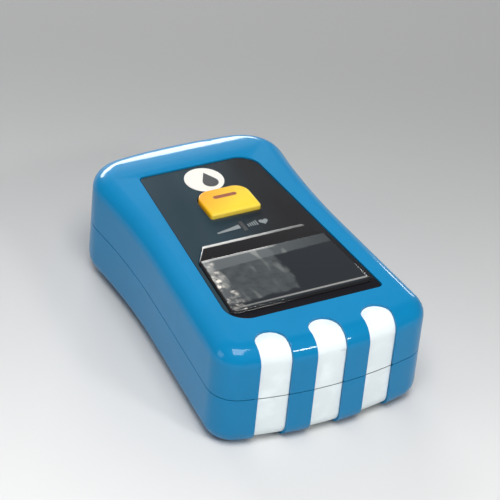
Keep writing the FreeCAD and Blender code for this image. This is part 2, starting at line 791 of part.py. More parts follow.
def ribbon():
    """A flat cable: along the lower shell, up past the frames, and over the main board's end."""
    xs = (RIBBON_X, f"{RIBBON_X}+ribbon_width")
    low = box("ribbon_low_run", xs, (RIBBON_Y, f"{SENSOR_Y}-sensor_board_length/2+ribbon_width"),
              (SENSOR_BOARD_TOP, f"{SENSOR_BOARD_TOP}+ribbon_thickness"))
    rise = box("ribbon_rise", xs, (RIBBON_Y, f"{RIBBON_Y}+ribbon_thickness"),
               (SENSOR_BOARD_TOP, f"{BOARD_TOP}+ribbon_thickness"))
    top = box("ribbon_top_run", xs, (RIBBON_Y, f"{BOARD_Y}+ribbon_landing"),
              (BOARD_TOP, f"{BOARD_TOP}+ribbon_thickness"))
    return join("ribbon_cable", low, rise, top)


# ---- hinge ----

def knuckles(reach, base, length):
    """Two hinge eyes on arms, one each side of the middle."""
    pin = Vector(0, value(PIN_Y), D.pin_height)
    solids = []
    for side in (-1, 1):
        x = side * reach - length / 2
        eye = Part.makeCylinder(D.knuckle_radius, length, pin + Vector(x, 0, 0), Vector(1, 0, 0))
        points = [Vector(x, p.y, p.z) for p in base]
        arm = Part.Face(Part.makePolygon(points + points[:1])).extrude(Vector(length, 0, 0))
        solids.append(eye.fuse(arm))
    return solids


def lower_frame():
    """A plate that closes the lower shell, with hinge eyes that stand above the seam."""
    low, top = value(LOWER_FRAME_LOW), value(LOWER_FRAME_TOP)
    start = -D.overall_length / 2 + D.lower_frame_from_near
    body = form(D.wall + D.fit_gap, low, top).common(slab(-50, 100, start=start))
    pin_y, pin_z, eye = value(PIN_Y), D.pin_height, D.knuckle_radius
    sunk = top - D.lower_arm_sink
    base = (Vector(0, pin_y - 0.9 * eye, pin_z - 0.4 * eye), Vector(0, pin_y + D.lower_arm_heel, sunk),
            Vector(0, pin_y + D.lower_arm_foot, sunk), Vector(0, pin_y + eye, pin_z))
    arms = knuckles(D.lower_knuckle_x, base, D.knuckle_width)
    body = body.fuse(arms)
    tools = [pad_window(low - 1, top + 1), ribbon_slot()]
    tools += [Part.makeCylinder(D.pin_radius, 40, Vector(-20, pin_y, pin_z), Vector(1, 0, 0))]
    tools += posts(D.screw_radius, low - 1, top + 1)
    return code_shape("lower_frame", cut_from(body, tools).removeSplitter())


def upper_frame():
    """A plate that closes the upper shell, with hinge eyes, and rails under the main board."""
    low, top = value(UPPER_FRAME_LOW), value(UPPER_FRAME_TOP)
    start = -D.overall_length / 2 + D.upper_frame_from_near
    body = form(D.wall + D.fit_gap, low, top).common(slab(-50, 100, start=start))
    pin_y, pin_z, eye = value(PIN_Y), D.pin_height, D.knuckle_radius
    foot_y = start + D.upper_arm_foot
    base = (Vector(0, pin_y, pin_z - eye), Vector(0, start + D.upper_arm_heel, low),
            Vector(0, foot_y, low), Vector(0, foot_y, top), Vector(0, pin_y + eye, pin_z))
    arms = knuckles(D.upper_knuckle_x, base, D.knuckle_width)
    rail_y = value(BOARD_Y) + D.rail_start
    rail_length = value(PAD_Y) - D.rail_end_gap - rail_y
    rails = [
        Part.makeBox(D.rail_width, rail_length, value(BOARD_LOW) - top, Vector(x, rail_y, top))
        for x in (-D.board_width / 2, D.board_width / 2 - D.rail_width)
    ]
    body = body.fuse(arms + rails)
    bore = D.pin_radius + D.pin_clearance
    tools = [pad_window(low - 1, top + 1), ribbon_slot()]
    tools += [Part.makeCylinder(bore, 40, Vector(-20, pin_y, pin_z), Vector(1, 0, 0))]
    tools += posts(D.screw_radius + D.screw_clearance, low - 1, top + 1)
    head_top = low + D.upper_screw_head_height + D.screw_head_gap
    tools += posts(D.screw_head_radius + D.screw_clearance, low - 1, head_top)
    return code_shape("upper_frame", cut_from(body, tools).removeSplitter())


def pad_window(low, high):
    """The open-ended window in a frame that the finger pad stands in."""
    width = D.pad_width + 2 * D.fit_gap
    start = value(PAD_Y) - D.fit_gap
    return Part.makeBox(width, 60, high - low, Vector(-width / 2, start, low))


def ribbon_slot():
    """The slot in both frames that the flat cable rises through."""
    spare = D.ribbon_slot_spare
    corner = Vector(value(RIBBON_X) - spare, value(RIBBON_Y) - D.ribbon_slot_back, -10)
    return Part.makeBox(D.ribbon_width + 2 * spare, D.ribbon_slot_length, 60, corner)


def hinge_pin():
    return cross_rod("hinge_pin", "pin_radius", "pin_length", "0", PIN_Y, "pin_height")


def torsion_spring(name, side):
    """A coil round the pin with a leg over the upper frame and a leg under the lower one."""
    wire = D.coil_wire / 2
    pitch = D.coil_wire + D.coil_spacing
    length = pitch * D.coil_turns
    helix = Part.makeHelix(pitch, length, D.coil_radius)
    profile = Part.Wire(Part.makeCircle(wire, Vector(D.coil_radius, 0, 0), Vector(0, 1, 0)))
    coil = Part.Wire(helix.Edges).makePipeShell([profile], True, True)
    coil.rotate(Vector(0, 0, 0), Vector(0, 1, 0), 90)
    coil.translate(Vector(side * D.coil_x - length / 2, value(PIN_Y), D.pin_height))
    start = side * D.coil_x - length / 2
    foot = Vector(start, value(PIN_Y), D.pin_height - D.coil_radius)
    knee = Vector(start, value(PIN_Y) - D.leg_back,
                  value(LOWER_FRAME_LOW) - wire - D.lower_leg_gap)
    toe = knee + Vector(0, D.lower_leg_length, 0)
    lift = Vector(start + length, value(PIN_Y), D.pin_height - D.coil_radius)
    rest_y = -D.overall_length / 2 + D.upper_frame_from_near + D.upper_leg_reach
    rest = Vector(lift.x, rest_y, value(UPPER_FRAME_TOP) + wire + D.upper_leg_gap)
    legs = [rod_between(foot, knee, wire), rod_between(knee, toe, wire), rod_between(lift, rest, wire)]
    balls = [Part.makeSphere(wire * 1.02, point) for point in (foot, knee, lift)]
    return code_shape(name, coil.fuse(balls).fuse(legs))


def rod_between(start, end, radius):
    return Part.makeCylinder(radius, (end - start).Length, start, end - start)


# ---- finger pads and screws ----

def finger_pad(name, bottom, top, trough_z, flange_low):
    """A soft pad with a trough along it, a closed inner end, a flange and a light window."""
    body = box(name + "_block", wide("pad_width"), (PAD_Y, f"{PAD_Y}+pad_length"), (bottom, top))
    flange = box(name + "_flange", wide("pad_width+2*pad_flange"),
                 (f"{PAD_Y}-pad_flange", f"{PAD_Y}+pad_length-pad_flange_short"),
                 (flange_low, f"{flange_low}+pad_flange_thickness"))
    trough = doc.addObject("Part::Cylinder", name + "_trough")
    trough.setExpression("Radius", bound("trough_radius"))
    trough.setExpression("Height", bound("pad_length+10"))
    place(trough, "0", f"{PAD_Y}+pad_end_wall", trough_z, Rotation(Vector(1, 0, 0), -90))
    window = rod(name + "_window", "window_radius", f"{bottom}-1", f"{top}+1", "0", SENSOR_Y)
    cavity = code_shape(name + "_cavity", form(D.wall + D.fit_gap, 0, D.body_height))
    fitted = doc.addObject("Part::MultiCommon", name + "_fitted")
    fitted.Shapes = [join(name + "_blank", body, flange), cavity]
    return cut(name, fitted, trough, window)


def finger_pads():
    lower = finger_pad("lower_finger_pad", "lower_pad_bottom", LOWER_FRAME_TOP,
                       "(lower_pad_bottom+pad_skin+trough_radius)",
                       f"({LOWER_FRAME_LOW}-pad_flange_thickness-pad_flange_gap)")
    upper = finger_pad("upper_finger_pad", UPPER_FRAME_LOW, "upper_pad_top",
                       "(upper_pad_top-pad_skin-trough_radius)", f"({UPPER_FRAME_TOP}+pad_flange_gap)")
    return [lower, upper]


def screw(point, low, head_height, length):
    """One screw, head down, with a cross cut in its head."""
    base = point + Vector(0, 0, low)
    head = Part.makeCylinder(D.screw_head_radius, head_height, base)
    shank = Part.makeCylinder(D.screw_radius, length, base)
    corner = base - Vector(D.screw_slot_length / 2, D.screw_slot_width / 2, 0)
    slot = Part.makeBox(D.screw_slot_length, D.screw_slot_width, D.screw_slot_depth, corner)
    other = slot.copy()
    other.rotate(base, Vector(0, 0, 1), 90)
    return head.fuse(shank).cut(slot.fuse(other))


def screws():
    """Four screws from below into the lower frame, and four up through the upper frame."""
    lower_length = value(LOWER_FRAME_TOP) - D.screw_sink - D.screw_end_gap
    upper_low = value(UPPER_FRAME_LOW) + D.seat_gap
    lower = [screw(point, D.screw_sink, D.screw_head_height, lower_length) for point in screw_places()]
    upper = [screw(point, upper_low, D.upper_screw_head_height, D.upper_screw_length)
             for point in screw_places()]
    return [code_shape("lower_screws", Part.makeCompound(lower)),
            code_shape("upper_screws", Part.makeCompound(upper))]


def build():
    """Every sub-part of the oximeter, in the order it would come apart."""
    parts = [upper_shell(), lower_shell(), battery_cover(), fascia(), display_lens(), emblem_disc()]
    parts += grip_inlays() + display_stack() + [power_button()] + switch() + main_board()
    parts += sensor_parts() + [ribbon(), lower_frame(), upper_frame(), hinge_pin()]
    parts += [torsion_spring("left_torsion_spring", -1), torsion_spring("right_torsion_spring", 1)]
    parts += finger_pads() + screws() + cells() + contacts()
    return parts


def write(parts):
    """Checks every object and writes each sub-part to its own file."""
    doc.recompute()
    for item in doc.Objects:
        if {"Invalid", "Error"} & set(item.State):
            raise RuntimeError(f"{item.Label} failed: {item.State}")
    os.makedirs("parts", exist_ok=True)
    for item in parts:
        if item.Shape.isNull() or not item.Shape.isValid():
            raise RuntimeError(f"{item.Label} has no valid shape")
        item.Shape.exportStep(f"parts/{item.Label}.step")
        print(f"{item.Label:24s} solids {len(item.Shape.Solids)} volume {item.Shape.Volume:9.2f}")


write(build())
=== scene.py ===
"""Fingertip pulse oximeter: finishes, fine shapes and studio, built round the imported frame."""
import logging
import math
from contextlib import contextmanager
from dataclasses import dataclass
from enum import Enum
from typing import Any, Callable, Iterable, Iterator, Sequence

import bmesh
import bpy
from mathutils import Matrix, Vector


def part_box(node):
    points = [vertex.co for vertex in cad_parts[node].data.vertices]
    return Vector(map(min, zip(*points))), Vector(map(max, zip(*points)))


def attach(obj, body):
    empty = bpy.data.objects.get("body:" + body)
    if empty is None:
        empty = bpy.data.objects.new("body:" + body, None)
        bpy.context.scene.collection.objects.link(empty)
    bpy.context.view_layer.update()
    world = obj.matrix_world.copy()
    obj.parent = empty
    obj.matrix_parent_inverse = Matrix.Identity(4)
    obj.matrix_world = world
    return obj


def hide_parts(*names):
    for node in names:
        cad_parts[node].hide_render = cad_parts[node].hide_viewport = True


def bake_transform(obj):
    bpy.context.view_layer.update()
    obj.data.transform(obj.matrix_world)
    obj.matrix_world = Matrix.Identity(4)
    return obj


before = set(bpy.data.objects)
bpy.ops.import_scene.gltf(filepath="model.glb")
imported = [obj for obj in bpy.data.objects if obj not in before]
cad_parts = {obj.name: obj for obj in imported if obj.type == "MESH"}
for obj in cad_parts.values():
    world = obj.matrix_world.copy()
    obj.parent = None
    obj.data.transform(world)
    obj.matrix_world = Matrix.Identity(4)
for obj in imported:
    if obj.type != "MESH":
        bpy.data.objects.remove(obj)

LOG = logging.getLogger("oximeter")
MM = 0.001
SHARP_DEG = 32.0
FLAT_DEG = 0.2
JOIN_DISTANCE = 2e-7
Colour = tuple[float, float, float]
Outline = list[tuple[float, float]]


class Body(Enum):
    """The rigid bodies of the oximeter."""

    LOWER = "lower"
    UPPER = "upper"
    BUTTON = "button"
    COVER = "battery_cover"


# ---------------------------------------------------------------- node trees


class Signal:
    """A value socket with arithmetic: each operator adds a Math node to its tree."""

    def __init__(self, bench: "ShaderBench", socket: bpy.types.NodeSocket) -> None:
        """Wraps one output socket."""
        self.bench = bench
        self.socket = socket

    def _math(self, operation: str, *values: Any, clamp: bool = False) -> "Signal":
        """Adds a Math node.

        Args:
            operation: the node's operation.
            values: its operands, signals or numbers.
            clamp: whether the result stays within 0 and 1.

        Returns:
            The node's output as a signal.
        """
        node = self.bench.add("ShaderNodeMath", {"operation": operation, "use_clamp": clamp},
                              dict(enumerate(values)))
        return Signal(self.bench, node.outputs[0])

    def __add__(self, other: Any) -> "Signal":
        """self + other."""
        return self._math("ADD", self, other)

    __radd__ = __add__

    def __sub__(self, other: Any) -> "Signal":
        """self - other."""
        return self._math("SUBTRACT", self, other)

    def __rsub__(self, other: Any) -> "Signal":
        """other - self."""
        return self._math("SUBTRACT", other, self)

    def __mul__(self, other: Any) -> "Signal":
        """self * other."""
        return self._math("MULTIPLY", self, other)

    __rmul__ = __mul__

    def sine(self) -> "Signal":
        """The sine of the signal."""
        return self._math("SINE", self)

    def size(self) -> "Signal":
        """The signal without its sign."""
        return self._math("ABSOLUTE", self)

    def within(self) -> "Signal":
        """The signal held between 0 and 1."""
        return self._math("ADD", self, 0.0, clamp=True)

    def step(self, low: float, high: float) -> "Signal":
        """A soft step.

        Args:
            low: where the step starts.
            high: where it ends; lower than low for a falling step.

        Returns:
            A signal that goes smoothly from 0 to 1.
        """
        node = self.bench.add(
            "ShaderNodeMapRange", {"interpolation_type": "SMOOTHSTEP", "clamp": True},
            {"Value": self, "From Min": low, "From Max": high})
        return Signal(self.bench, node.outputs[0])


def source_of(value: Any) -> Any:
    """The socket that a signal or a node stands for; anything else as it is."""
    if isinstance(value, Signal):
        return value.socket
    if isinstance(value, bpy.types.Node):
        return value.outputs[0]
    return value


class TreeBench:
    """Adds and links the nodes of one tree."""

    def __init__(self, tree: bpy.types.NodeTree) -> None:
        """Takes the tree that nodes go into."""
        self.tree = tree

    def add(self, kind: str, settings: dict[str, Any] | None = None,
            values: dict[Any, Any] | None = None) -> bpy.types.Node:
        """Adds a node.

        Args:
            kind: the node's type.
            settings: attributes set before any socket.
            values: a value, socket, signal or node for each input, by name or number.

        Returns:
            The new node.
        """
        node = self.tree.nodes.new(kind)
        for name, setting in (settings or {}).items():
            setattr(node, name, setting)
        for name, value in (values or {}).items():
            value = source_of(value)
            if isinstance(value, bpy.types.NodeSocket):
                self.tree.links.new(value, node.inputs[name])
            else:
                node.inputs[name].default_value = value
        return node


class ShaderBench(TreeBench):
    """Builds one material round a Principled shader."""

    def __init__(self, name: str) -> None:
        """Makes an empty material of that name."""
        self.material = bpy.data.materials.new(name)
        self.material.use_nodes = True
        super().__init__(self.material.node_tree)
        self.tree.nodes.clear()
        self.shader = self.add("ShaderNodeBsdfPrincipled")
        self.add("ShaderNodeOutputMaterial", values={"Surface": self.shader})

    def place(self, centre: Sequence[float] = (0, 0, 0),
              stretch: Sequence[float] = (1, 1, 1)) -> bpy.types.NodeSocket:
        """Object coordinates about a centre.

        Args:
            centre: the point in metres that becomes the pattern's origin.
            stretch: how much each axis is scaled.

        Returns:
            The vector socket.
        """
        coords = self.add("ShaderNodeTexCoord")
        moved = self.add("ShaderNodeVectorMath", {"operation": "SUBTRACT"},
                         {0: coords.outputs["Object"], 1: tuple(centre)})
        scaled = self.add("ShaderNodeVectorMath", {"operation": "MULTIPLY"},
                          {0: moved, 1: tuple(stretch)})
        return scaled.outputs[0]

    def axes(self, centre: Sequence[float] = (0, 0, 0)) -> tuple[Signal, Signal, Signal]:
        """The three object coordinates about a centre, in millimetres."""
        split = self.add("ShaderNodeSeparateXYZ", values={0: self.place(centre, (1e3, 1e3, 1e3))})
        return tuple(Signal(self, split.outputs[i]) for i in range(3))

    def noise(self, grain_mm: float, detail: float = 3.0, where: Any = None) -> Signal:
        """A noise.

        Args:
            grain_mm: about how wide its blots are.
            detail: its number of octaves.
            where: the vector it is read at; object coordinates if left out.

        Returns:
            The noise, about 0 to 1.
        """
        node = self.add("ShaderNodeTexNoise", values={
            "Vector": where or self.place(), "Scale": 1 / (grain_mm * MM), "Detail": detail})
        return Signal(self, node.outputs[0])

    def cells(self, grain_mm: float) -> Signal:
        """The distances of a cell pattern whose cells are about grain_mm wide."""
        node = self.add("ShaderNodeTexVoronoi",
                        values={"Vector": self.place(), "Scale": 1 / (grain_mm * MM)})
        return Signal(self, node.outputs["Distance"])

    def blend(self, factor: Any, first: Any, second: Any) -> bpy.types.NodeSocket:
        """A colour between first and second by factor."""
        node = self.add("ShaderNodeMix", {"data_type": "RGBA"},
                        {0: factor, 6: rgba(first), 7: rgba(second)})
        return node.outputs[2]

    def emboss(self, height: Signal, depth_mm: float, strength: float) -> bpy.types.Node:
        """A Bump node.

        Args:
            height: the relief, 0 to 1.
            depth_mm: how deep 0 to 1 is.
            strength: how much of it shows.

        Returns:
            The Bump node.
        """
        return self.add("ShaderNodeBump", values={
            "Height": height, "Distance": depth_mm * MM, "Strength": strength})

    def dress(self, **sockets: Any) -> bpy.types.Material:
        """Sets the shader's sockets, named with underscores, and returns the material."""
        for name, value in sockets.items():
            socket = self.shader.inputs[name.replace("_", " ")]
            value = source_of(value)
            if isinstance(value, bpy.types.NodeSocket):
                self.tree.links.new(value, socket)
            elif socket.type == "RGBA":
                socket.default_value = rgba(value)
            else:
                socket.default_value = value
        return self.material


def rgba(colour: Any) -> Any:
    """A three-number colour with its alpha added; anything else as it is."""
    if isinstance(colour, (tuple, list)) and len(colour) == 3:
        return (*colour, 1.0)
    return colour


def toned(colour: Colour, factor: float, lift: float = 0.0) -> Colour:
    """A colour times a factor plus a lift, held within 1."""
    return tuple(min(1.0, part * factor + lift) for part in colour)


# ---------------------------------------------------------------- finishes


@dataclass(frozen=True)
class MouldedPlastic:
    """Injection-moulded plastic with a fine skin, faint flow clouds and rubbed gloss."""

    name: str
    colour: Colour
    gloss: float = 0.3
    coat: float = 0.0
    grain_mm: float = 0.22
    grain_depth_mm: float = 0.004
    cloud: float = 0.06
    specular: float = 0.5

    def make(self) -> bpy.types.Material:
        """Builds the material."""
        bench = ShaderBench(self.name)
        clouds = bench.noise(9.0, 4.0)
        grain = bench.noise(self.grain_mm, 2.0)
        rubbed = bench.noise(3.0, 5.0)
        dark, light = toned(self.colour, 1 - self.cloud), toned(self.colour, 1 + self.cloud)
        return bench.dress(
            Base_Color=bench.blend(clouds, dark, light),
            Roughness=(self.gloss - 0.04) + 0.08 * rubbed,
            Specular_IOR_Level=self.specular,
            Coat_Weight=self.coat,
            Coat_Roughness=0.06,
            Normal=bench.emboss(grain, self.grain_depth_mm, 0.2),
        )


@dataclass(frozen=True)
class SoftRubber:
    """Moulded silicone or soft-touch rubber with a matt pebbled skin and a little dust."""

    name: str
    colour: Colour
    gloss: float = 0.55
    pebble_mm: float = 0.35

    def make(self) -> bpy.types.Material:
        """Builds the material."""
        bench = ShaderBench(self.name)
        dust = bench.noise(4.0, 5.0).step(0.45, 0.75)
        pebbles = bench.cells(self.pebble_mm)
        return bench.dress(
            Base_Color=bench.blend(dust, self.colour, toned(self.colour, 1.12, 0.01)),
            Roughness=self.gloss + 0.1 * dust,
            Normal=bench.emboss(pebbles, 0.006, 0.3),
            Sheen_Weight=0.05,
        )


@dataclass(frozen=True)
class FasciaGloss:
    """Gloss fascia, black at the near end; painted reflection makes it slate far left, neutral
    right.
    """

    name: str
    # The painted reflection's two colours; black is the panel's own colour.
    slate_reflection: Colour = (0.016, 0.037, 0.051)
    neutral_reflection: Colour = (0.011, 0.011, 0.012)
    black: Colour = (0.004, 0.004, 0.007)
    near_mm: float = 3.4
    near_fade_mm: float = 1.2

    def make(self) -> bpy.types.Material:
        """Builds the material."""
        bench = ShaderBench(self.name)
        low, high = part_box("fascia_panel")
        x, y, z = bench.axes(((low.x + high.x) / 2, low.y, high.z))
        # Painted reflection: the panel goes from slate at the far left to neutral at the right.
        across = (x - y * 0.15 + bench.noise(8.0, 2.0) * 3.0).step(-9.0, 6.0)
        wavy = y + bench.noise(4.0, 1.0) * 0.4
        near = wavy.step(self.near_mm, self.near_mm - self.near_fade_mm)
        ground = bench.blend(across, self.slate_reflection, self.neutral_reflection)
        smear = bench.noise(5.0, 4.0, bench.place(stretch=(1.0, 0.35, 1.0)))
        return bench.dress(
            Base_Color=bench.blend(near, ground, self.black),
            Roughness=0.16 + 0.12 * smear - 0.06 * near,
            Specular_IOR_Level=0.3,
            Coat_Weight=0.25,
            Coat_Roughness=0.05,
            Normal=bench.emboss(bench.noise(14.0, 1.0), 0.05, 0.2),
        )


@dataclass(frozen=True)
class SmokedShelf:
    """The smoked step of the lens, with a painted highlight: a silvery line along its far edge that
    fades.
    """

    name: str
    smoke: Colour = (0.012, 0.011, 0.012)
    # The painted highlight's colour.
    silver: Colour = (0.52, 0.52, 0.50)
    line_mm: float = 0.75
    line_fade_mm: float = 0.25

    def make(self) -> bpy.types.Material:
        """Builds the material."""
        bench = ShaderBench(self.name)
        low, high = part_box("display_lens")
        x, y, z = bench.axes(((low.x + high.x) / 2, high.y, high.z))
        wavy = y + bench.noise(2.5, 1.0) * 0.2
        # Painted highlight: a silvery line along the far edge, fading towards the right.
        line = wavy.step(-self.line_mm, -self.line_mm + self.line_fade_mm)
        fade = (x + bench.noise(3.0, 3.0) * 3.0).step(10.0, -9.0)
        return bench.dress(
            Base_Color=bench.blend(line * (fade * 0.85 + 0.15), self.smoke, self.silver),
            Roughness=0.08 + 0.2 * line,
            Specular_IOR_Level=0.3,
            Coat_Weight=0.3,
            Coat_Roughness=0.03,
            Normal=bench.emboss(bench.noise(6.0, 1.0), 0.03, 0.2),
        )


@dataclass(frozen=True)
class ClearPlastic:
    """Clear or tinted moulded window with fine handling marks."""

    name: str
    colour: Colour
    alpha: float = 0.3
    gloss: float = 0.04

    def make(self) -> bpy.types.Material:
        """Builds the material."""
        bench = ShaderBench(self.name)
        marks = bench.noise(2.5, 6.0, bench.place(stretch=(0.4, 1.0, 1.0))).step(0.5, 0.8)
        wave = bench.noise(7.0, 2.0)
        return bench.dress(
            Base_Color=bench.blend(marks, self.colour, toned(self.colour, 1.0, 0.06)),
            Roughness=self.gloss + 0.05 * marks,
            Alpha=self.alpha,
            IOR=1.5,
            Coat_Weight=1.0,
            Coat_Roughness=0.02,
            Normal=bench.emboss(wave, 0.03, 0.25),
        )


@dataclass(frozen=True)
class BrushedMetal:
    """Drawn or turned metal with fine lines along one axis."""

    name: str
    colour: Colour
    along: tuple[float, float, float] = (0.05, 1.0, 1.0)
    gloss: float = 0.25

    def make(self) -> bpy.types.Material:
        """Builds the material."""
        bench = ShaderBench(self.name)
        lines = bench.noise(0.25, 3.0, bench.place(stretch=self.along))
        stain = bench.noise(3.0, 4.0)
        return bench.dress(
            Base_Color=bench.blend(stain, toned(self.colour, 0.82), self.colour),
            Metallic=1.0,
            Roughness=self.gloss + 0.15 * lines,
            Normal=bench.emboss(lines, 0.006, 0.4),
        )


@dataclass(frozen=True)
class CircuitBoard:
    """Solder mask over copper tracks, with pads and a woven core."""

    name: str
    mask: Colour = (0.012, 0.12, 0.055)
    track: Colour = (0.03, 0.24, 0.11)
    tracks_per_mm: float = 6.0
    weave_per_mm: float = 18.0

    def make(self) -> bpy.types.Material:
        """Builds the material."""
        bench = ShaderBench(self.name)
        x, y, z = bench.axes()
        bend = bench.noise(5.0, 0.0) * 3.0
        tracks = ((x * 0.9 + bend) * self.tracks_per_mm).sine().step(0.55, 0.7)
        cross = ((y * 0.9 + bend) * self.tracks_per_mm).sine().step(0.75, 0.85)
        area = bench.noise(6.0, 0.0).step(0.48, 0.5)
        copper = (tracks * area + cross * (1.0 - area)).within()
        weave = (x * self.weave_per_mm).sine() * (y * self.weave_per_mm).sine()
        return bench.dress(
            Base_Color=bench.blend(copper, self.mask, self.track),
            Roughness=0.32 + 0.1 * bench.noise(1.2, 3.0),
            Normal=bench.emboss(weave * 0.15 + copper, 0.02, 0.5),
        )


@dataclass(frozen=True)
class Print:
    """Screen-printed ink with a slightly uneven film."""

    name: str
    colour: Colour
    wear_and_highlight: float = 0.05

    def make(self) -> bpy.types.Material:
        """Builds the material."""
        bench = ShaderBench(self.name)
        film = bench.noise(0.4, 3.0)
        return bench.dress(
            Base_Color=bench.blend(film, toned(self.colour, 1 - self.wear_and_highlight), self.colour),
            Roughness=0.35 + 0.1 * film,
            Normal=bench.emboss(film, 0.004, 0.3),
        )


@dataclass(frozen=True)
class ButtonPlastic:
    """Yellow button plastic: painted shade makes it deeper orange towards its far left; a painted
    highlight makes its right and near rim paler.
    """

    name: str
    yellow: Colour = (0.86, 0.57, 0.010)
    # The painted shade's colour.
    orange: Colour = (0.80, 0.36, 0.005)
    # The painted highlight's colour on the right and near rim.
    rim: Colour = (0.86, 0.66, 0.09)
    rim_mm: float = 0.7
    skirt_mm: float = 0.8

    def make(self) -> bpy.types.Material:
        """Builds the material."""
        bench = ShaderBench(self.name)
        low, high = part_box("power_button")
        x, y, z = bench.axes((low + high) / 2)
        half_x = (high.x - low.x) / 2 / MM - self.skirt_mm
        half_y = (high.y - low.y) / 2 / MM - self.skirt_mm
        # Painted shade: deeper orange towards the far left.
        far_left_shade = (y * 0.5 - x * 0.35 + bench.noise(2.5, 3.0)).step(-1.2, 3.4)
        # Painted highlight: paler along the right and near rim.
        wear_and_highlight = ((x - half_x).step(-self.rim_mm, 0.0) + (y + half_y).step(self.rim_mm, 0.0)).within()
        mixed = bench.blend(far_left_shade, self.yellow, self.orange)
        grain = bench.noise(0.2, 2.0)
        return bench.dress(
            Base_Color=bench.blend(wear_and_highlight * 0.7, mixed, self.rim),
            Roughness=0.3 + 0.1 * bench.noise(1.5, 4.0),
            Specular_IOR_Level=0.25,
            Coat_Weight=0.06,
            Coat_Roughness=0.1,
            Normal=bench.emboss(grain, 0.004, 0.3),
        )


@dataclass(frozen=True)
class DisplayFace:
    """A switched-off segment display: dark polariser over a faint silvered back."""

    name: str
    dark: Colour = (0.012, 0.014, 0.016)
    silver: Colour = (0.07, 0.075, 0.08)
    cells_per_mm: float = 14.0

    def make(self) -> bpy.types.Material:
        """Builds the material."""
        bench = ShaderBench(self.name)
        low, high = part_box("display_glass")
        x, y, z = bench.axes((low + high) / 2)
        grid = (x * self.cells_per_mm).sine().size() * (y * self.cells_per_mm).sine().size()
        veil = bench.noise(6.0, 2.0)
        return bench.dress(
            Base_Color=bench.blend(grid * 0.15 + veil * 0.35, self.dark, self.silver),
            Roughness=0.08 + 0.08 * veil,
            Coat_Weight=0.5,
            Coat_Roughness=0.04,
            Normal=bench.emboss(veil, 0.03, 0.3),
        )


@dataclass(frozen=True)
class LensWindow:
    """The lens over the dark display: silvery backing film shows through its left half.

    A grey band crosses under the far edge, a mottled patch lies over the left half, painted
    highlights run along the near and far edges, and painted cream glints on crumpled film lie along
    the left end.
    """

    name: str
    dark: Colour = (0.026, 0.031, 0.036)
    grey: Colour = (0.10, 0.112, 0.116)
    pale: Colour = (0.24, 0.25, 0.24)
    # The painted glints' colour.
    cream: Colour = (0.80, 0.74, 0.66)
    # The painted highlights' colour along the near and far edges.
    line: Colour = (0.34, 0.34, 0.33)
    band_mm: float = 2.9
    patch_right_mm: float = 0.6
    patch_soft_mm: float = 0.6
    patch_low_mm: float = 13.2
    glitter_mm: float = 2.6
    wander_mm: float = 2.6

    def make(self) -> bpy.types.Material:
        """Builds the material."""
        bench = ShaderBench(self.name)
        low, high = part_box("display_lens")
        far = high.y - Display.shoulder_mm * MM
        x, y, z = bench.axes(((low.x + high.x) / 2, far, high.z))
        left = (high.x - low.x) / 2 / MM
        wander = (bench.noise(3.2, 2.0) - 0.5) * self.wander_mm
        band = (y + self.band_mm + wander * 0.25 - x * 0.03).step(-0.25, 0.25)
        patch = (x + wander * 1.5).step(self.patch_right_mm + self.patch_soft_mm,
                                        self.patch_right_mm - self.patch_soft_mm)
        lower = (y + wander * 0.8).step(-self.patch_low_mm, -self.patch_low_mm + 0.8)
        mottle = 0.55 + 0.8 * (bench.noise(1.7, 3.0) - 0.5)
        film = (band * (0.75 - 0.03 * x) + patch * lower * mottle).within()
        streak = bench.noise(2.6, 1.0, bench.place(stretch=(1.0, 0.3, 1.0))).step(0.56, 0.64)
        edge = (x + left + y * 0.065 + wander * 0.5).step(self.glitter_mm + 0.7,
                                                          self.glitter_mm - 0.9)
        crumple = bench.cells(1.5).step(0.5, 0.1)
        # Painted glints: cream facets of the crumpled film along the left end.
        sparkle = (edge * (0.15 + crumple) * bench.noise(1.2, 3.0).step(0.42, 0.58)).within()
        base = bench.blend(film, self.dark, self.grey)
        base = bench.blend(film * streak * 0.8, base, self.pale)
        # Painted highlights: a line along the near edge, brighter to the right, and one along the
        # left part of the far edge, fading to the right.
        inward = y + (far - low.y) / MM
        shine = 0.4 + 0.045 * (x + left)
        near_line = inward.step(0.75, 0.95) * inward.step(1.35, 1.1) * shine
        far_line = y.step(-0.75, -0.5) * (x + wander).step(3.0, 1.5) * (0.75 - 0.03 * x)
        base = bench.blend((near_line + far_line).within(), base, self.line)
        relief = bench.noise(1.6, 2.0) * edge + bench.noise(5.0, 1.0) * 0.2
        return bench.dress(
            Base_Color=bench.blend(sparkle, base, self.cream),
            Roughness=0.07 + 0.25 * edge + 0.08 * film,
            Alpha=(0.80 + 0.2 * film + sparkle).within(),
            Specular_IOR_Level=0.3,
            Coat_Weight=0.3,
            Coat_Roughness=0.03,
            Normal=bench.emboss(relief, 0.12, 0.35),
        )


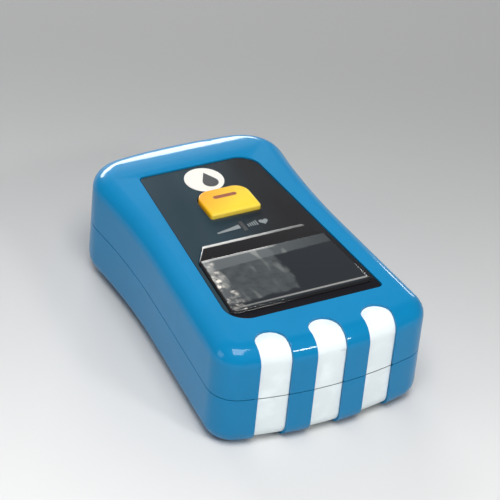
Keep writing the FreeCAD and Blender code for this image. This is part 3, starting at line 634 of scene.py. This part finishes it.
class Finishes:
    """Every finish of the oximeter, made once."""

    def __init__(self) -> None:
        """Builds the materials."""
        self.blue = MouldedPlastic("blue_shell_plastic", (0.001, 0.205, 0.435), 0.4, 0.5,
                                   specular=0.05).make()
        self.grip = SoftRubber("white_grip_rubber", (0.80, 0.87, 0.88), 0.42).make()
        self.fascia = FasciaGloss("black_fascia_gloss").make()
        self.lens = SmokedShelf("smoked_lens_acrylic").make()
        self.window = LensWindow("clear_lens_window").make()
        self.display = DisplayFace("display_face").make()
        self.yellow = ButtonPlastic("yellow_button_plastic").make()
        self.dash = Print("red_brown_ink", (0.32, 0.055, 0.008), 0.5).make()
        self.white_ink = Print("white_ink", (0.76, 0.74, 0.68)).make()
        self.grey_ink = Print("grey_ink", (0.22, 0.25, 0.26), 0.3).make()
        self.black_ink = Print("black_ink", (0.012, 0.014, 0.016)).make()
        self.pad = SoftRubber("grey_pad_silicone", (0.065, 0.072, 0.08), 0.5, 0.25).make()
        self.frame = MouldedPlastic("grey_frame_plastic", (0.12, 0.13, 0.14), 0.45).make()
        self.holder = MouldedPlastic("black_holder_plastic", (0.015, 0.015, 0.017), 0.4).make()
        self.guide = MouldedPlastic("white_light_guide", (0.8, 0.8, 0.78), 0.3).make()
        self.zebra = SoftRubber("pink_contact_rubber", (0.45, 0.2, 0.2)).make()
        self.board = CircuitBoard("green_circuit_board").make()
        self.chip = MouldedPlastic("black_chip_resin", (0.012, 0.012, 0.014), 0.5,
                                   grain_mm=0.08).make()
        self.sensor = ClearPlastic("red_sensor_window", (0.35, 0.03, 0.03), 0.8).make()
        self.ribbon = ClearPlastic("amber_ribbon_film", (0.55, 0.22, 0.02), 0.92, 0.25).make()
        self.steel = BrushedMetal("brushed_steel", (0.58, 0.58, 0.6)).make()
        self.gold = BrushedMetal("gold_flash", (0.78, 0.58, 0.25)).make()


# ---------------------------------------------------------------- mesh making


def new_piece(name: str, mesh: bpy.types.Mesh, finish: bpy.types.Material) -> bpy.types.Object:
    """Links a mesh to the scene as a piece with one material.

    Args:
        name: the piece's name.
        mesh: its mesh, already in place.
        finish: its material.

    Returns:
        The object, at the origin.
    """
    piece = bpy.data.objects.new(name, mesh)
    mesh.materials.clear()
    mesh.materials.append(finish)
    bpy.context.scene.collection.objects.link(piece)
    return piece


def smooth(mesh: bpy.types.Mesh, angle: float = SHARP_DEG) -> None:
    """Shades a mesh smooth, with edges over the angle in degrees kept sharp."""
    mesh.polygons.foreach_set("use_smooth", [True] * len(mesh.polygons))
    mesh.set_sharp_from_angle(angle=math.radians(angle))
    mesh.update()


@contextmanager
def editing(mesh: bpy.types.Mesh) -> Iterator[bmesh.types.BMesh]:
    """Opens a mesh for editing and writes it back."""
    build = bmesh.new()
    build.from_mesh(mesh)
    yield build
    build.to_mesh(mesh)
    build.free()


def clean_copy(node: str) -> bpy.types.Mesh:
    """A CAD node's mesh with its loose triangles joined and its flat faces whole."""
    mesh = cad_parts[node].data.copy()
    with editing(mesh) as build:
        bmesh.ops.remove_doubles(build, verts=build.verts, dist=JOIN_DISTANCE)
        bmesh.ops.dissolve_limit(build, angle_limit=math.radians(FLAT_DEG), verts=build.verts,
                                 edges=build.edges)
    return mesh


def sliced(mesh: bpy.types.Mesh, axis: Vector, places: Iterable[float]) -> None:
    """Cuts a mesh's faces, without parting them, where planes across an axis meet it."""
    with editing(mesh) as build:
        for place in places:
            bmesh.ops.bisect_plane(build, geom=build.verts[:] + build.edges[:] + build.faces[:],
                                   plane_co=axis * place, plane_no=axis, dist=1e-7)


def skin_of(node: str, finish: bpy.types.Material, body: Body, slot: str, edge_mm: float = 0.0,
            shape: Callable[[bpy.types.Mesh], None] | None = None,
            bend: tuple[Vector, Vector] | None = None, name: str = "") -> None:
    """A clean skin of a CAD node, smoothed and with its edges eased.

    Args:
        node: the CAD node that it stands for.
        finish: its material.
        body: the body that it rides on.
        slot: not used.
        edge_mm: the width of the eased edges; none if 0.
        shape: what reshapes the clean mesh; nothing if left out.
        bend: if given, the piece's place is baked in and it goes on no body; its two points are not
            used.
        name: the piece's name; the node's own with _skin if left out.
    """
    mesh = clean_copy(node)
    if shape is not None:
        shape(mesh)
    smooth(mesh)
    piece = new_piece(name or node + "_skin", mesh, finish)
    if edge_mm:
        bevel = piece.modifiers.new("eased_edges", "BEVEL")
        bevel.width = edge_mm * MM
        bevel.segments = 3
        bevel.limit_method = "ANGLE"
        bevel.angle_limit = math.radians(SHARP_DEG)
        bevel.use_clamp_overlap = True
    settle(piece, body, slot, node, bend=bend)


def settle(piece: bpy.types.Object, body: Body, slot: str, *nodes: str,
           bend: tuple[Vector, Vector] | None = None) -> None:
    """Puts a finished piece on its body in place of its CAD nodes, or, given a bend, bakes its place
    in and leaves it on no body.

    Args:
        piece: the piece.
        body: the body that it rides on.
        slot: not used.
        *nodes: the CAD nodes that it stands for.
        bend: if given, the piece's place is baked into its mesh and it goes on no body; its two
            points are not used.
    """
    if bend is None:
        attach(piece, body.value)
    else:
        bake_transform(piece)
    if nodes:
        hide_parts(*nodes)
    LOG.info("%s rides on %s, %d faces", piece.name, body.value, len(piece.data.polygons))


def slab_mesh(name: str, outline: Outline, low: float, high: float) -> bpy.types.Mesh:
    """A flat mesh from an outline.

    Args:
        name: the mesh's name.
        outline: its points, anticlockwise, in metres.
        low: its underside.
        high: its top.

    Returns:
        The closed mesh.
    """
    mesh = bpy.data.meshes.new(name)
    with editing(mesh) as build:
        base = build.faces.new([build.verts.new((x, y, low)) for x, y in outline])
        raised = bmesh.ops.extrude_face_region(build, geom=[base])
        top = [item for item in raised["geom"] if isinstance(item, bmesh.types.BMVert)]
        bmesh.ops.translate(build, verts=top, vec=(0, 0, high - low))
        bmesh.ops.recalc_face_normals(build, faces=build.faces)
    return mesh


def arc(centre: tuple[float, float], radius: float, start: float, end: float,
        count: int) -> Outline:
    """Points along an arc, angles in degrees."""
    steps = [math.radians(start + (end - start) * i / (count - 1)) for i in range(count)]
    return [(centre[0] + radius * math.cos(a), centre[1] + radius * math.sin(a)) for a in steps]


def capsule(centre: tuple[float, float], length: float, width: float) -> Outline:
    """The outline of a bar with round ends that lies along X."""
    x, y = centre
    reach = (length - width) / 2
    return arc((x + reach, y), width / 2, -90, 90, 9) + arc((x - reach, y), width / 2, 90, 270, 9)


def drop(centre: tuple[float, float], radius: float) -> Outline:
    """The outline of a drop with its point along +Y."""
    tip = (centre[0], centre[1] + 2.1 * radius)
    return arc(centre, radius, -208, 28, 31) + [tip]


def heart(centre: tuple[float, float], size: float, count: int = 48) -> Outline:
    """The outline of a heart with its point along -Y."""
    points = []
    for i in range(count):
        a = 2 * math.pi * i / count
        x = 16 * math.sin(a) ** 3
        y = 13 * math.cos(a) - 5 * math.cos(2 * a) - 2 * math.cos(3 * a) - math.cos(4 * a)
        points.append((centre[0] - x * size / 32, centre[1] + y * size / 32))
    return points


class GeometryBench(TreeBench):
    """Builds one Geometry Nodes tree with named sizes and applies it to a mesh."""

    def __init__(self, name: str, sizes: dict[str, float]) -> None:
        """Makes a tree with a geometry input and one input for each size.

        Args:
            name: the tree's name.
            sizes: the inputs' names and values, in metres or plain numbers.
        """
        group = bpy.data.node_groups.new(name, "GeometryNodeTree")
        super().__init__(group)
        group.interface.new_socket("Geometry", in_out="INPUT", socket_type="NodeSocketGeometry")
        for label in sizes:
            group.interface.new_socket(label, in_out="INPUT", socket_type="NodeSocketFloat")
        group.interface.new_socket("Geometry", in_out="OUTPUT", socket_type="NodeSocketGeometry")
        self.sizes = sizes
        self.inputs = self.add("NodeGroupInput")

    def size(self, label: str) -> bpy.types.NodeSocket:
        """The socket of one named size."""
        return self.inputs.outputs[label]

    def scaled(self, label: str, factor: float) -> bpy.types.NodeSocket:
        """A named size times a number."""
        node = self.add("ShaderNodeMath", {"operation": "MULTIPLY"},
                        {0: self.size(label), 1: factor})
        return node.outputs[0]

    def close(self, geometry: Any, finish: bpy.types.Material) -> None:
        """Ends the tree in real geometry with the finish set."""
        real = self.add("GeometryNodeRealizeInstances", values={0: geometry})
        dressed = self.add("GeometryNodeSetMaterial", values={"Geometry": real})
        dressed.inputs["Material"].default_value = finish
        self.add("NodeGroupOutput", values={0: dressed})

    def run(self, name: str, points: Sequence[Sequence[float]],
            finish: bpy.types.Material) -> bpy.types.Object:
        """Runs the tree on loose points and keeps the result as a plain mesh.

        Args:
            name: the piece's name.
            points: the points that the tree starts from, in metres.
            finish: the piece's material.

        Returns:
            The piece, with no modifier left on it.
        """
        start = bpy.data.meshes.new(name + "_points")
        start.from_pydata([tuple(p) for p in points], [], [])
        carrier = bpy.data.objects.new(name + "_carrier", start)
        bpy.context.scene.collection.objects.link(carrier)
        modifier = carrier.modifiers.new("shape", "NODES")
        modifier.node_group = self.tree
        for item in self.tree.interface.items_tree:
            if item.in_out == "INPUT" and item.name in self.sizes:
                modifier[item.identifier] = self.sizes[item.name]
        evaluated = carrier.evaluated_get(bpy.context.evaluated_depsgraph_get())
        mesh = bpy.data.meshes.new_from_object(evaluated)
        bpy.data.objects.remove(carrier)
        return new_piece(name, mesh, finish)


# ---------------------------------------------------------------- sub-assemblies


@dataclass
class Casing:
    """The two blue shells and the coin-slot battery cover."""

    finishes: Finishes
    seam_edge_mm: float = 0.05
    crown_length_mm: float = 8.0
    crown_drop_mm: float = 1.05
    crown_depth_mm: float = 3.4
    crown_slices: int = 18

    def crown(self, mesh: bpy.types.Mesh) -> None:
        """Lets the top fall away gently towards the finger end."""
        low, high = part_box("upper_shell")
        length = self.crown_length_mm * MM
        start, foot = high.y - length, high.z - self.crown_depth_mm * MM
        steps = range(1, self.crown_slices)
        sliced(mesh, Vector((0, 1, 0)), [start + length * i / self.crown_slices for i in steps])
        for vertex in mesh.vertices:
            along = max(0.0, (vertex.co.y - start) / length)
            share = max(0.0, (vertex.co.z - foot) / (high.z - foot))
            vertex.co.z -= self.crown_drop_mm * MM * along ** 2 * share

    def build(self) -> None:
        """Makes the shells and the cover."""
        blue, slot = self.finishes.blue, "blue_shell"
        skin_of("upper_shell", blue, Body.UPPER, slot, self.seam_edge_mm, self.crown)
        skin_of("lower_shell", blue, Body.LOWER, slot, self.seam_edge_mm)
        skin_of("battery_cover", blue, Body.COVER, slot, 0.1)


@dataclass
class GripStripes:
    """The six white grip inlays of the near end."""

    finishes: Finishes
    sides: tuple[str, ...] = ("left", "middle", "right")

    def build(self) -> None:
        """Makes an upper and a lower inlay for each stripe."""
        for side in self.sides:
            for level, body in (("upper", Body.UPPER), ("lower", Body.LOWER)):
                skin_of(f"{level}_grip_{side}", self.finishes.grip, body, "grip_white", 0.08)


@dataclass
class Fascia:
    """The black fascia with its printed symbols."""

    finishes: Finishes
    ink_mm: float = 0.03
    emblem_sides: int = 60
    row_y_mm: float = 2.3
    bars: int = 5
    bar_width_mm: float = 0.22
    bar_pitch_mm: float = 0.42
    bar_growth_mm: float = 0.13
    first_bar_mm: tuple[float, float] = (0.75, 0.35)
    bar_foot_mm: float = -0.45
    heart_x_mm: float = 3.9
    heart_mm: float = 1.7

    def build(self) -> None:
        """Makes the panel and its prints."""
        skin_of("fascia_panel", self.finishes.fascia, Body.UPPER, "fascia_black", 0.2,
                name="fascia_skin")
        self.print_emblem()
        self.print_row()

    def ink(self, name: str, outline: Outline, base: float, finish: bpy.types.Material) -> None:
        """Prints one symbol as a thin film standing on a surface at height base."""
        piece = new_piece(name, slab_mesh(name, outline, base, base + self.ink_mm * MM), finish)
        settle(piece, Body.UPPER, "fascia_black")

    def row_outline(self, points: Outline) -> Outline:
        """Points in millimetres about the row's middle, as places in metres."""
        return [(x * MM, (self.row_y_mm + dy) * MM) for x, dy in points]

    def print_emblem(self) -> None:
        """Prints the white disc with a plain drop on it."""
        low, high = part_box("emblem_disc")
        middle = (low + high) / 2
        radius = (high.x - low.x) / 2
        last = 360 - 360 / self.emblem_sides
        rim = arc((middle.x, middle.y), radius, 0, last, self.emblem_sides)
        piece = new_piece("emblem_print", slab_mesh("emblem", rim, low.z, high.z),
                          self.finishes.white_ink)
        settle(piece, Body.UPPER, "print_white", "emblem_disc")
        centre = (middle.x + 0.22 * radius, middle.y - 0.28 * radius)
        self.ink("emblem_drop", drop(centre, 0.4 * radius), high.z, self.finishes.black_ink)

    def print_row(self) -> None:
        """Prints the row of small symbols between the button and the display."""
        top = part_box("fascia_panel")[1].z
        dark, grey = self.finishes.black_ink, self.finishes.grey_ink
        gauge = [(-5.3, -0.55), (-0.75, -0.35), (-0.75, 0.75), (-2.4, 0.35), (-5.3, -0.2)]
        self.ink("row_gauge", self.row_outline(gauge), top, grey)
        rule = [(-0.45, -1.3), (0.25, -1.3), (0.25, 1.5), (-0.45, 1.5)]
        self.ink("row_rule", self.row_outline(rule), top, dark)
        first_x, first_height = self.first_bar_mm
        for i in range(self.bars):
            x, height = first_x + i * self.bar_pitch_mm, first_height + i * self.bar_growth_mm
            far_x = x + self.bar_width_mm
            bar = [(x, self.bar_foot_mm), (far_x, self.bar_foot_mm), (far_x, height), (x, height)]
            self.ink(f"row_bar_{i}", self.row_outline(bar), top, grey)
        centre = (self.heart_x_mm * MM, (self.row_y_mm + 0.1) * MM)
        self.ink("row_heart", heart(centre, self.heart_mm * MM), top, grey)


@dataclass
class Display:
    """The raised lens over the switched-off display and its holder.

    The lens is a smoked shelf that steps in at its far corners, and a clear window that
    stands on it up to the shoulder.
    """

    finishes: Finishes
    shoulder_mm: float = 4.0
    shoulder_inset_mm: float = 1.1
    far_inset_mm: float = 3.7
    window_mm: float = 0.2
    corner_mm: float = 1.0
    edge_mm: float = 0.22
    window_inset_mm: float = 0.35

    def outline(self, far: float, far_half: float | None, inset: float) -> Outline:
        """The lens outline, anticlockwise.

        Args:
            far: where the shoulder is.
            far_half: half the width at the far edge; none if it ends at the shoulder.
            inset: how far it is set in.

        Returns:
            The points in metres.
        """
        low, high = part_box("display_lens")
        near, half = low.y + inset, (high.x - low.x) / 2 - inset
        shoulder_half = half - self.shoulder_inset_mm * MM
        r = self.corner_mm * MM
        points = arc((half - r, near + r), r, -90, -4, 8) + [(shoulder_half, far)]
        if far_half is not None:
            points += [(far_half, high.y), (-far_half, high.y)]
        points += [(-shoulder_half, far)] + arc((-half + r, near + r), r, 184, 270, 8)
        return points

    def plate(self, name: str, points: Outline, low: float, high: float,
              finish: bpy.types.Material) -> bpy.types.Object:
        """One plate of the lens with rolled top edges."""
        mesh = slab_mesh(name, points, low, high)
        with editing(mesh) as build:
            rim = [e for e in build.edges if all(abs(v.co.z - high) < 1e-6 for v in e.verts)]
            bmesh.ops.bevel(build, geom=rim, offset=min(self.edge_mm * MM, (high - low) * 0.9),
                            segments=4, profile=0.5, affect="EDGES")
        smooth(mesh, 40)
        return new_piece(name, mesh, finish)

    def build(self) -> None:
        """Makes the lens and the display face, and dresses what carries them."""
        low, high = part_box("display_lens")
        far = high.y - self.shoulder_mm * MM
        step = high.z - self.window_mm * MM
        half = (high.x - low.x) / 2
        shelf = self.outline(far, half - self.far_inset_mm * MM, 0.0)
        piece = self.plate("lens_shelf", shelf, low.z, step, self.finishes.lens)
        settle(piece, Body.UPPER, "lens_clear", "display_lens")
        window = self.outline(far, None, self.window_inset_mm * MM)
        piece = self.plate("lens_window", window, step, high.z, self.finishes.window)
        settle(piece, Body.UPPER, "lens_clear")
        skin_of("display_glass", self.finishes.display, Body.UPPER, "display_grey", 0.06,
                name="display_face")
        skin_of("display_holder", self.finishes.holder, Body.UPPER, "holder_black", 0.05)


@dataclass
class PowerButton:
    """The yellow button and its dash."""

    finishes: Finishes
    ink_mm: float = 0.015
    skirt_mm: float = 0.8
    dash_length_mm: float = 4.6
    dash_width_mm: float = 0.85
    dash_shift: float = 0.66

    def make_room(self, mesh: bpy.types.Mesh) -> None:
        """Lowers the cap's top by the height that the dash stands above it."""
        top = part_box("power_button")[1].z - self.ink_mm * MM
        for vertex in mesh.vertices:
            vertex.co.z = min(vertex.co.z, top)

    def build(self) -> None:
        """Makes the button and its dash."""
        skin_of("power_button", self.finishes.yellow, Body.BUTTON, "button_yellow", 0.08,
                self.make_room)
        low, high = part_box("power_button")
        near, far = low.y + self.skirt_mm * MM, high.y - self.skirt_mm * MM
        centre = ((low.x + high.x) / 2, near + self.dash_shift * (far - near))
        bar = capsule(centre, self.dash_length_mm * MM, self.dash_width_mm * MM)
        mesh = slab_mesh("dash", bar, high.z - 2 * self.ink_mm * MM, high.z)
        piece = new_piece("button_dash", mesh, self.finishes.dash)
        settle(piece, Body.BUTTON, "button_yellow")


@dataclass
class Hinge:
    """The pin, the two torsion springs and the flat cable inside the near end.

    The springs and the cable go on no body: their places are baked into their meshes.
    """

    finishes: Finishes
    coil_gap_mm: float = 0.55
    leg_way: tuple[float, float, float] = (0, 1.0, 1.5)
    leg_run_mm: float = 1.6
    leg_start: float = 0.2
    cable_low_mm: float = 2.2
    cable_high_mm: float = 0.3
    cable_slices: int = 9

    def build(self) -> None:
        """Makes the pin, the springs and the cable."""
        skin_of("hinge_pin", self.finishes.steel, Body.LOWER, "steel", 0.08)
        low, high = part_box("hinge_pin")
        foot = Vector((0, (low.y + high.y) / 2, low.z - self.coil_gap_mm * MM))
        way = Vector(self.leg_way).normalized() * self.leg_run_mm * MM
        for node in ("left_torsion_spring", "right_torsion_spring"):
            skin_of(node, self.finishes.steel, Body.LOWER, "steel",
                    bend=(foot + way * self.leg_start, foot + way))
        self.build_cable()

    def build_cable(self) -> None:
        """Makes the cable, sliced across just below the seam, with its place baked in and on no
        body.
        """
        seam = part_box("upper_frame")[0].z
        start, end = seam - self.cable_low_mm * MM, seam - self.cable_high_mm * MM
        steps = range(self.cable_slices + 1)
        places = [start + (end - start) * i / self.cable_slices for i in steps]
        skin_of("ribbon_cable", self.finishes.ribbon, Body.LOWER, "ribbon_amber",
                shape=lambda mesh: sliced(mesh, Vector((0, 0, 1)), places),
                bend=(Vector((0, 0, start)), Vector((0, 0, end))))


@dataclass
class Screws:
    """Two sets of four cross-slot screws."""

    finishes: Finishes
    head_sides: int = 32
    shank_sides: int = 20
    head_radius_mm: float = 1.55
    lower_head_mm: float = 0.7
    upper_head_mm: float = 0.42
    shank_radius_mm: float = 0.8
    slot_length_mm: float = 2.0
    slot_width_mm: float = 0.42
    slot_turn: float = 0.4

    def tree(self, sizes: dict[str, float]) -> GeometryBench:
        """The tree that sets one screw on each point."""
        bench = GeometryBench("screw_set", sizes)
        head = bench.add("GeometryNodeMeshCylinder", values={
            "Vertices": self.head_sides, "Radius": bench.size("Head Radius"),
            "Depth": bench.size("Head Height")})
        shank = bench.add("GeometryNodeMeshCylinder", values={
            "Vertices": self.shank_sides, "Radius": bench.size("Shank Radius"),
            "Depth": bench.size("Shank Length")})
        half = bench.scaled("Shank Length", 0.5)
        raise_by = bench.add("ShaderNodeCombineXYZ", values={"Z": half})
        stood = bench.add("GeometryNodeTransform", values={
            0: shank.outputs["Mesh"], "Translation": raise_by})
        solid = bench.add("GeometryNodeMeshBoolean", {"operation": "UNION"})
        bench.tree.links.new(head.outputs["Mesh"], solid.inputs[1])
        bench.tree.links.new(stood.outputs[0], solid.inputs[1])
        cut = bench.add("GeometryNodeMeshBoolean", {"operation": "DIFFERENCE"},
                        {0: solid.outputs[0]})
        low = bench.add("ShaderNodeCombineXYZ", values={"Z": bench.scaled("Head Height", -0.5)})
        for turn in (0.0, math.pi / 2):
            size = bench.add("ShaderNodeCombineXYZ", values={
                "X": bench.size("Slot Length"), "Y": bench.size("Slot Width"),
                "Z": bench.size("Head Height")})
            bar = bench.add("GeometryNodeMeshCube", values={"Size": size})
            laid = bench.add("GeometryNodeTransform", values={
                0: bar.outputs["Mesh"], "Translation": low,
                "Rotation": (0.0, 0.0, turn + self.slot_turn)})
            bench.tree.links.new(laid.outputs[0], cut.inputs[1])
        points = bench.add("GeometryNodeMeshToPoints", values={0: bench.inputs.outputs["Geometry"]})
        placed = bench.add("GeometryNodeInstanceOnPoints", values={
            "Points": points, "Instance": cut.outputs[0]})
        bench.close(placed, self.finishes.steel)
        return bench

    def build(self) -> None:
        """Makes both sets where their CAD nodes stand."""
        head_radius = self.head_radius_mm * MM
        for node, body, head_mm in (("lower_screws", Body.LOWER, self.lower_head_mm),
                                    ("upper_screws", Body.UPPER, self.upper_head_mm)):
            low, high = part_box(node)
            head = head_mm * MM
            sizes = {"Head Radius": head_radius, "Head Height": head,
                     "Shank Radius": self.shank_radius_mm * MM,
                     "Shank Length": high.z - low.z - head * 0.6,
                     "Slot Length": self.slot_length_mm * MM,
                     "Slot Width": self.slot_width_mm * MM}
            xs = (low.x + head_radius, high.x - head_radius)
            ys = (low.y + head_radius, high.y - head_radius)
            points = [(x, y, low.z + head / 2) for x in xs for y in ys]
            piece = self.tree(sizes).run(node + "_set", points, self.finishes.steel)
            smooth(piece.data)
            settle(piece, body, "steel", node)


@dataclass
class FingerPads:
    """The two soft silicone pads that hold the finger."""

    finishes: Finishes

    def build(self) -> None:
        """Makes both pads."""
        for node, body in (("lower_finger_pad", Body.LOWER), ("upper_finger_pad", Body.UPPER)):
            skin_of(node, self.finishes.pad, body, "pad_rubber", 0.3)


@dataclass
class Works:
    """Inner pieces whose CAD shape is right: each gets its own finish."""

    finishes: Finishes

    def build(self) -> None:
        """Dresses the inner pieces."""
        own = self.finishes
        dressing = (
            (own.frame, "lower_frame upper_frame"),
            (own.guide, "backlight"),
            (own.zebra, "contact_strip"),
            (own.holder, "switch_body"),
            (own.board, "main_board sensor_board"),
            (own.chip, "switch_plunger processor_chip amplifier_chip small_board_parts photodiode"),
            (own.sensor, "detector_window light_emitter emitter_window"),
            (own.steel, "timing_crystal lower_coin_cell upper_coin_cell"),
            (own.gold, "upper_battery_contact side_battery_contact"),
        )
        for finish, node in ((finish, node) for finish, nodes in dressing for node in nodes.split()):
            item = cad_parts[node]
            item.data.materials.clear()
            item.data.materials.append(finish)
            LOG.info("%s keeps its CAD shape", node)


# ---------------------------------------------------------------- studio


@dataclass
class Studio:
    """Pale floor, soft lights and the camera."""

    length: float
    air: Colour = (0.78, 0.8, 0.83)
    air_strength: float = 0.22
    floor_near: Colour = (0.74, 0.74, 0.735)
    # The painted shade's colour at the far end.
    floor_far: Colour = (0.31, 0.31, 0.31)
    floor_fade_mm: tuple[float, float] = (-85.0, 95.0)
    floor_span: float = 3.0
    floor_gap_mm: float = 0.02
    azimuth: float = -30.4
    elevation: float = 35.8
    roll: float = 5.75
    lens_mm: float = 193.6
    distance: float = 7.347
    aim_height: float = 0.2
    aim_right: float = 0.009
    aim_up: float = 0.044

    def axes(self) -> tuple[Vector, Vector, Vector]:
        """The camera's right, up and backward directions."""
        a, e, r = (math.radians(v) for v in (self.azimuth, self.elevation, self.roll))
        right = Vector((math.cos(a), math.sin(a), 0))
        back = Vector((math.sin(a) * math.cos(e), -math.cos(a) * math.cos(e), math.sin(e)))
        up = back.cross(right)
        return right * math.cos(r) + up * math.sin(r), up * math.cos(r) - right * math.sin(r), back

    def camera(self) -> None:
        """Sets the camera."""
        right, up, back = self.axes()
        aim = Vector((0, 0, self.aim_height)) + right * self.aim_right + up * self.aim_up
        place = (aim + back * self.distance) * self.length
        turn = Matrix((right, up, back)).transposed().to_4x4()
        data = bpy.data.cameras.new("camera")
        data.lens = self.lens_mm
        data.sensor_width = 36
        data.clip_start = 0.01
        data.clip_end = 10
        item = bpy.data.objects.new("camera", data)
        item.matrix_world = Matrix.Translation(place) @ turn
        bpy.context.scene.collection.objects.link(item)
        bpy.context.scene.camera = item

    def floor(self) -> None:
        """Lays the floor, paler towards the camera: the darkening away from it is painted shade."""
        bench = ShaderBench("studio_floor")
        a = math.radians(self.azimuth)
        x, y, z = bench.axes()
        depth = x * -math.sin(a) + y * math.cos(a)
        # Painted shade: the floor darkens away from the camera in place of light falling off.
        shade = depth.step(*self.floor_fade_mm)
        material = bench.dress(
            Base_Color=bench.blend(shade, self.floor_near, self.floor_far),
            Roughness=0.75 + 0.05 * bench.noise(20.0),
            Specular_IOR_Level=0.1,
        )
        span, level = self.floor_span, -self.floor_gap_mm * MM
        mesh = bpy.data.meshes.new("floor")
        corners = [(-span, -span), (span, -span), (span, span), (-span, span)]
        mesh.from_pydata([(x, y, level) for x, y in corners], [], [(0, 1, 2, 3)])
        new_piece("floor", mesh, material)

    def light(self, name: str, place: Sequence[float], size: tuple[float, float], power: float,
              colour: Colour = (1, 1, 1), aim: Sequence[float] = (0, 0, 0.008)) -> None:
        """Hangs one soft box.

        Args:
            name: its name.
            place: where it hangs, in metres.
            size: its width and height.
            power: in watts.
            colour: its tint.
            aim: the point that it faces.
        """
        data = bpy.data.lights.new(name, "AREA")
        data.shape = "RECTANGLE"
        data.size, data.size_y = size
        data.energy = power
        data.color = colour
        item = bpy.data.objects.new(name, data)
        item.location = Vector(place)
        item.rotation_euler = (Vector(place) - Vector(aim)).to_track_quat("Z", "Y").to_euler()
        bpy.context.scene.collection.objects.link(item)

    def build(self) -> None:
        """Sets the floor, the lights, the air and the camera."""
        self.floor()
        self.camera()
        world = bpy.data.worlds.new("studio_air")
        world.use_nodes = True
        ground = world.node_tree.nodes["Background"]
        ground.inputs["Color"].default_value = rgba(self.air)
        ground.inputs["Strength"].default_value = self.air_strength
        bpy.context.scene.world = world
        self.light("key_box", (-0.10, -0.22, 0.60), (0.36, 0.36), 3.7)
        self.light("back_box", (0.08, 0.50, 0.15), (0.40, 0.12), 2.2)
        self.light("right_strip", (0.55, 0.42, 0.12), (0.12, 0.08), 0.35)
        self.light("left_box", (-0.55, 0.05, 0.22), (0.25, 0.25), 0.5, (0.92, 0.97, 1.0))
        self.light("near_box", (0.16, -0.42, 0.30), (0.08, 0.05), 0.6)
        bpy.context.scene.view_settings.view_transform = "Standard"


def main() -> None:
    """Builds every sub-assembly, then the studio."""
    logging.basicConfig(level=logging.INFO, format="%(name)s: %(message)s")
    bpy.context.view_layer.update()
    finishes = Finishes()
    for assembly in (Casing, GripStripes, Fascia, Display, PowerButton, Hinge, Screws,
                     FingerPads, Works):
        assembly(finishes).build()
    shell_low, shell_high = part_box("lower_shell")
    Studio(shell_high.y - shell_low.y).build()


if __name__ == "__main__":
    main()
